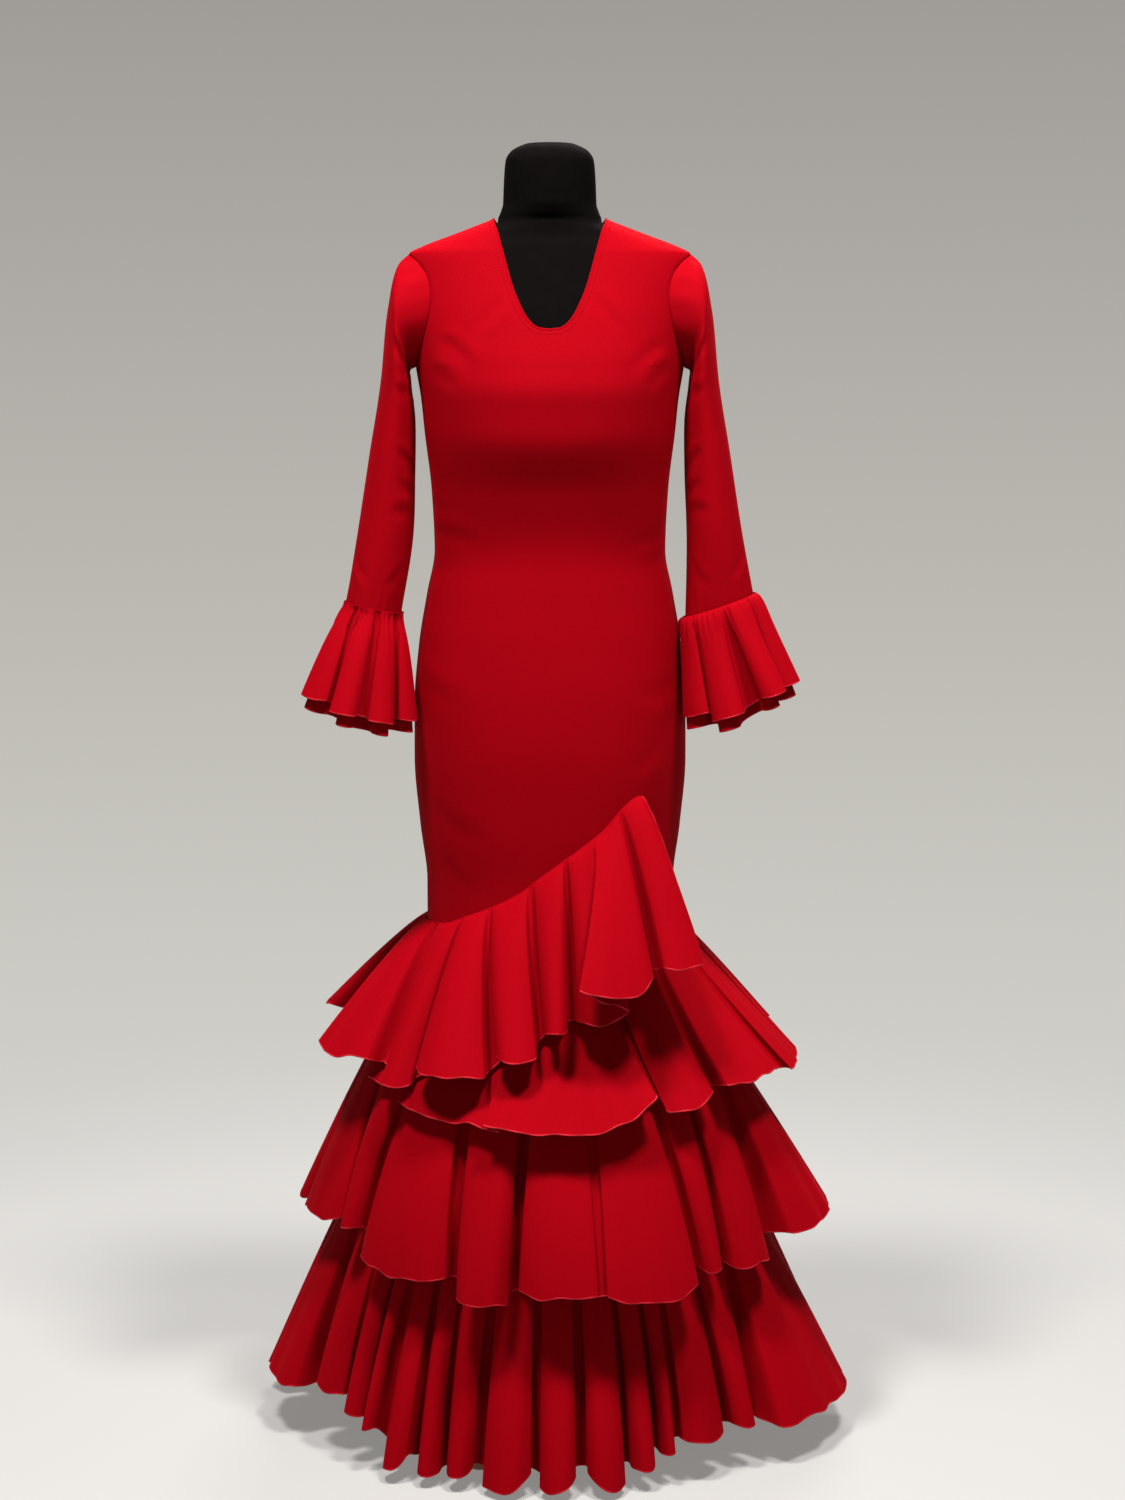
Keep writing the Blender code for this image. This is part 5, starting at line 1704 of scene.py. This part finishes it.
def make_underskirt():
    """The flared skirt that carries the lower flounces."""
    above = np.linspace(SHEATH_HEM_Z - SEAM_GAP, 0.46, 24)
    below = np.linspace(0.455, UNDERSKIRT_HEM_Z, 16)
    turn = np.linspace(0, 360, UNDERSKIRT_COLUMNS + 1)
    deg, z = np.meshgrid(turn, np.concatenate((above, below)))
    across = np.radians(turn) * UNDERSKIRT_RADIUS
    soft = waves(across, 2 * pi * UNDERSKIRT_RADIUS, [(0.09, 0.6 * MM)], 71)[None]
    out = soft * np.clip((SHEATH_HEM_Z - z) / 0.1, 0, 1)
    return shell_from("underskirt_crepe", body_point(deg, z, out - 0.2 * MM), True, "underskirt")


# ---------------------------------------------------------------- dress form and its stand

FORM_COLUMNS = 96
FORM_GIRTH = 0.9  # an even one, for the knit
FORM_EDGE = 4 * MM  # how high the torso's lower edge is rolled
FORM_EDGE_SHARE = 0.975  # how wide its flat underside is, of the edge


def make_form():
    """The padded torso and neck, a little inside the dress, covered with jersey."""
    ease_at = [np.array(column) for column in zip(*FORM_EASE)]
    heights = np.concatenate((np.linspace(FORM_BOTTOM_Z, 1.25, 60), np.linspace(1.256, 1.440, 46)))
    deg = np.linspace(0, 360, FORM_COLUMNS + 1)[:-1]
    rings = []
    for z in heights:
        ease = np.interp(z, *ease_at)
        turn = oval_turn(deg, np.full_like(deg, z), backwards=True)
        rings.append(body_point(turn, z, np.full_like(deg, -CLOTH - ease)))
    # The neck goes from the shoulders' oval to a circle, and its cap is slightly domed.
    neck_z, neck_radius = np.array(FORM_NECK).T
    last_radius = np.linalg.norm(rings[-1][:, :2], axis=-1)
    profile = smooth_curve(list(enumerate((heights[-1], *neck_z))))
    widths = smooth_curve(list(enumerate((last_radius.mean(), *neck_radius))))
    turns = angle_of(rings[-1])
    for k in np.linspace(0, len(neck_z), 26)[1:]:
        share = min(1.0, k)
        radius = widths(k)[0] + (last_radius - last_radius.mean()) * (1 - share)
        rings.append(polar(turns + deg_gap(deg, turns) * share, radius, profile(k)[0]))
    # The lower edge of the torso is rolled under.
    rings.insert(0, rings[0] * np.array((FORM_EDGE_SHARE, FORM_EDGE_SHARE, 1.0)))
    rings[1] = rings[1] + np.array((0, 0, FORM_EDGE))
    columns = FORM_COLUMNS
    faces, uv = tube_faces(len(rings), columns), []
    u = [FORM_GIRTH * k / columns for k in range(columns + 1)]
    for low, high in zip(rings, rings[1:]):
        v0, v1 = low[0, 2], high[0, 2]
        for u0, u1 in zip(u, u[1:]):
            uv.extend([(u0, v0), (u1, v0), (u1, v1), (u0, v1)])
    faces.append(list(range(columns))[::-1])
    uv.extend([(u[k], 0.0) for k in range(columns)][::-1])
    top = (len(rings) - 1) * columns
    centre = len(rings) * columns
    points = np.concatenate([*rings, [[0.0, 0.0, rings[-1][0, 2]]]])
    for k in range(columns):
        faces.append([top + k, top + (k + 1) % columns, centre])
        uv.extend([(u[k], 2.0), (u[k + 1], 2.0), (u[k], 2.03)])
    form = joined_mesh("form_jersey", [(points, faces, uv)], JERSEY, 60)
    return wear(form, "jersey", "form_body")


def deg_gap(target, turns):
    """The shortest way round from each angle to its target."""
    return (target - turns + 180) % 360 - 180


def foot_outline(inset):
    """Three round-ended legs round a hub, that far inside the foot's full outline."""
    outline = []
    tip_radius = FOOT_LEG_WIDTH / 2
    for leg in range(3):
        middle = FOOT_FIRST_LEG_DEG + 120 * leg
        forward = polar(middle, 1.0, 0.0)
        across = polar(middle + 90, 1.0, 0.0)
        tip_middle = forward * (FOOT_LEG_LENGTH - tip_radius)
        outline.append(polar(middle - FOOT_ROOT_DEG, FOOT_HUB_RADIUS - inset, 0.0))
        for angle in np.linspace(0, pi, 19):
            turn = forward * np.sin(angle) - across * np.cos(angle)
            outline.append(tip_middle + turn * (tip_radius - inset))
        outline.append(polar(middle + FOOT_ROOT_DEG, FOOT_HUB_RADIUS - inset, 0.0))
        outline.append(polar(middle + 60, FOOT_HUB_RADIUS - inset, 0.0))
    return np.array(outline)


def make_foot():
    """The foot, cut from one plank with its top edge rounded."""
    levels = [(0.0, 1.0 * MM), (1.0 * MM, 0.0)]  # height and inset, from the floor up
    for angle in np.linspace(0, pi / 2, 6):
        z = FOOT_HEIGHT - FOOT_ROUNDING + FOOT_ROUNDING * np.sin(angle)
        levels.append((z, FOOT_ROUNDING * (1 - np.cos(angle))))
    rings = [foot_outline(inset) + np.array((0, 0, z)) for z, inset in levels]
    count = len(rings[0])
    faces = tube_faces(len(rings), count) + end_faces(len(rings), count)
    uv = [(0.0, 0.0)] * sum(len(face) for face in faces)
    foot = joined_mesh("foot_beech", [(np.concatenate(rings), faces, uv)], BEECH, 40)
    return wear(foot, "foot_wood", "stand_foot")


# ---------------------------------------------------------------- zip

ZIP_TAPE_WALL = 0.45 * MM
TOOTH_PITCH = 1.5 * MM
TOOTH = (3.4 * MM, 0.8 * MM, 0.75 * MM)  # across, along and out
TOOTH_SHIFT = 0.35 * MM  # to the left and right by turns
TOOTH_SUNK = 0.1 * MM
TOOTH_TOP = 0.8  # how wide its top is, of its foot
CAST_EDGE = 0.22 * MM


def make_zip():
    """The closed zip: its tape down the middle of the back, and its teeth."""
    heights = np.linspace(ZIP_TOP_Z, ZIP_BOTTOM_Z, 140)
    normal = body_normal(180.0, heights)
    middle = body_point(180.0, heights) + (SEAM_GAP + ZIP_TAPE_WALL) * normal
    across = np.array((-1.0, 0, 0))
    shares = np.linspace(-0.5, 0.5, 7)
    grid = middle[:, None] + across * (ZIP_WIDTH * shares)[None, :, None]
    tape = cloth_shell("zip_tape", [(grid, grid - ZIP_TAPE_WALL * normal[:, None])], ZIP_TAPE)
    wear(tape, "zip_tape", "zip_strip")

    path, out, _ = resample(middle, normal, TOOTH_PITCH, False)
    tangent = unit(np.gradient(path, axis=0))
    side = unit(np.cross(tangent, out))
    parts = []
    corners = [(x, y, z) for x in (-1, 1) for y in (-1, 1) for z in (0, 1)]
    box_faces = [[0, 1, 3, 2], [4, 6, 7, 5], [0, 4, 5, 1], [2, 3, 7, 6], [0, 2, 6, 4], [1, 5, 7, 3]]
    for number in range(1, len(path) - 1):
        shift = TOOTH_SHIFT * (1 if number % 2 else -1)
        points = []
        for x, y, z in corners:
            narrow = TOOTH_TOP if z else 1.0
            points.append(
                path[number]
                + side[number] * (shift + x * narrow * TOOTH[0] / 2)
                + tangent[number] * (y * narrow * TOOTH[1] / 2)
                + out[number] * (z * TOOTH[2] - TOOTH_SUNK)
            )
        parts.append((np.array(points), box_faces, [(0.0, 0.0)] * 24))
    teeth = joined_mesh("zip_teeth", parts, ZIP_TAPE, 30)
    wear(teeth, "zip_tape")
    return tape, teeth


def rounded_copy(name, node_name, body):
    """A solid's own shape with its edges rounded as casting leaves them."""
    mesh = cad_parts[node_name].data.copy()
    mesh.name = name
    mesh.materials.clear()
    mesh.materials.append(ZINC)
    made = add_object(name, mesh)
    maker = bmesh.new()
    maker.from_mesh(mesh)
    bmesh.ops.remove_doubles(maker, verts=maker.verts, dist=1e-6)
    bmesh.ops.dissolve_limit(maker, angle_limit=radians(3), verts=maker.verts, edges=maker.edges)
    maker.to_mesh(mesh)
    maker.free()
    rounding = made.modifiers.new("cast edges", "BEVEL")
    rounding.width = CAST_EDGE
    rounding.segments = 2
    rounding.limit_method = "ANGLE"
    rounding.angle_limit = radians(40)
    mesh.shade_smooth()
    mesh.set_sharp_from_angle(angle=radians(50))
    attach(made, body)
    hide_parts(node_name)
    return made


# ---------------------------------------------------------------- the dress, put together


def make_dress():
    """Every piece of cloth with its trims."""
    panels = make_panels()
    underskirt = make_underskirt()
    sleeves, cuffs = [], []
    for number, (side, arm) in enumerate(ARMS.items()):
        sleeve, armhole_seam = make_sleeve(f"sleeve_{side}", arm, 51 + 10 * number)
        sleeves.append((sleeve, armhole_seam))
        for under in (False, True):
            node_name = f"cuff_{side}_under" if under else f"cuff_{side}_top"
            pieces = make_cuff(node_name, arm, CUFF_FOLDS[side], under, 81 + 20 * number + 5 * under)
            cuffs.append((pieces, sleeve))
    flounces = make_flounces()


# ---------------------------------------------------------------- room, light and camera

CAMERA_PLACE = (0.015, -3.35, 1.23)
CAMERA_TILT_DEG = 7.18  # below level
CAMERA_LENS = 67.08  # for a sensor 36 mm high
FLOOR_RADIUS = 9.0
LAMP_WHITE = "#FFFAF4"


def area_light(name, place, target, size, power):
    """A lamp at a place, aimed at a target. Its size is across and up in metres, its power in watts."""
    data = bpy.data.lights.new(name, "AREA")
    data.shape = "RECTANGLE"
    data.size, data.size_y = size
    data.energy = power
    data.color = srgb(LAMP_WHITE)[:3]
    light = add_object(name, data)
    light.location = place
    aim = np.array(target, float) - np.array(place, float)
    flat = float(np.hypot(aim[0], aim[1]))
    light.rotation_euler = (float(np.arctan2(flat, -aim[2])), 0.0, float(np.arctan2(-aim[0], aim[1])))
    return light


def make_room_walls():
    """Pale walls all round, palest near the floor, under a dim ceiling."""
    world = bpy.data.worlds.new("pale studio")
    world.use_nodes = True
    tree = world.node_tree
    place = node(tree, "ShaderNodeTexCoord")
    height = node(tree, "ShaderNodeSeparateXYZ", (), {"Vector": place.outputs["Generated"]})
    ramp = node(tree, "ShaderNodeValToRGB")
    share = node(
        tree, "ShaderNodeMapRange", {"From Min": -0.3, "From Max": 0.7}, {"Value": height.outputs["Z"]}
    )
    stops = ramp.color_ramp.elements
    stops[0].position, stops[0].color = 0.05, srgb("#D2D0CA")
    stops[1].position, stops[1].color = 1.0, srgb("#2C2B2A")
    for position, colour in ((0.22, "#BDBAB4"), (0.34, "#ADAAA5"), (0.46, "#9C9995"), (0.65, "#5A5856")):
        stops.new(position).color = srgb(colour)
    tree.links.new(share.outputs["Result"], ramp.inputs["Fac"])
    tree.links.new(ramp.outputs["Color"], tree.nodes["Background"].inputs["Color"])
    return world


def make_room():
    """Floor, walls, lamps and camera."""
    turn = np.linspace(0, 2 * pi, 97)[:-1]
    rim = np.stack((FLOOR_RADIUS * np.cos(turn), FLOOR_RADIUS * np.sin(turn), np.zeros_like(turn)), -1)
    floor = add_mesh("studio_floor", rim, [list(range(len(rim)))], make_studio_vinyl())
    bpy.context.scene.world = make_room_walls()
    bpy.context.scene.view_settings.view_transform = "Standard"  # keeps the red as deep as the dye
    area_light("left lamp", (-0.8, -1.02, 4.0), (0, 0, 0.6), (0.6, 0.6), 198)
    area_light("right lamp", (0.8, -1.02, 4.0), (0, 0, 0.6), (0.6, 0.6), 188)
    area_light("left side fill", (-3.0, -0.6, 1.3), (0, 0, 0.8), (1.6, 1.6), 3)
    area_light("right side fill", (3.0, -0.6, 1.3), (0, 0, 0.8), (1.6, 1.6), 2)
    area_light("front fill", (0.2, -4.2, 1.9), (0, 0, 0.9), (1.6, 1.6), 5)
    area_light("back lamp", (0.4, 2.0, 3.4), (0, 0, 0.7), (1.0, 1.0), 60)
    data = bpy.data.cameras.new("camera")
    data.sensor_fit = "VERTICAL"
    data.sensor_height = 36
    data.lens = CAMERA_LENS
    camera = add_object("camera", data)
    camera.location = CAMERA_PLACE
    camera.rotation_euler = (pi / 2 - radians(CAMERA_TILT_DEG), 0, 0)
    bpy.context.scene.camera = camera


def main():
    make_room()
    make_form()
    make_dress()
    make_zip()
    rounded_copy("slider_zinc", "zip_slider", DRESS)
    rounded_copy("pull_zinc", "zip_pull", PULL)
    make_foot()
    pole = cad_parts["stand_pole"]
    pole.material_slots[0].material = PAINTED_STEEL


main()
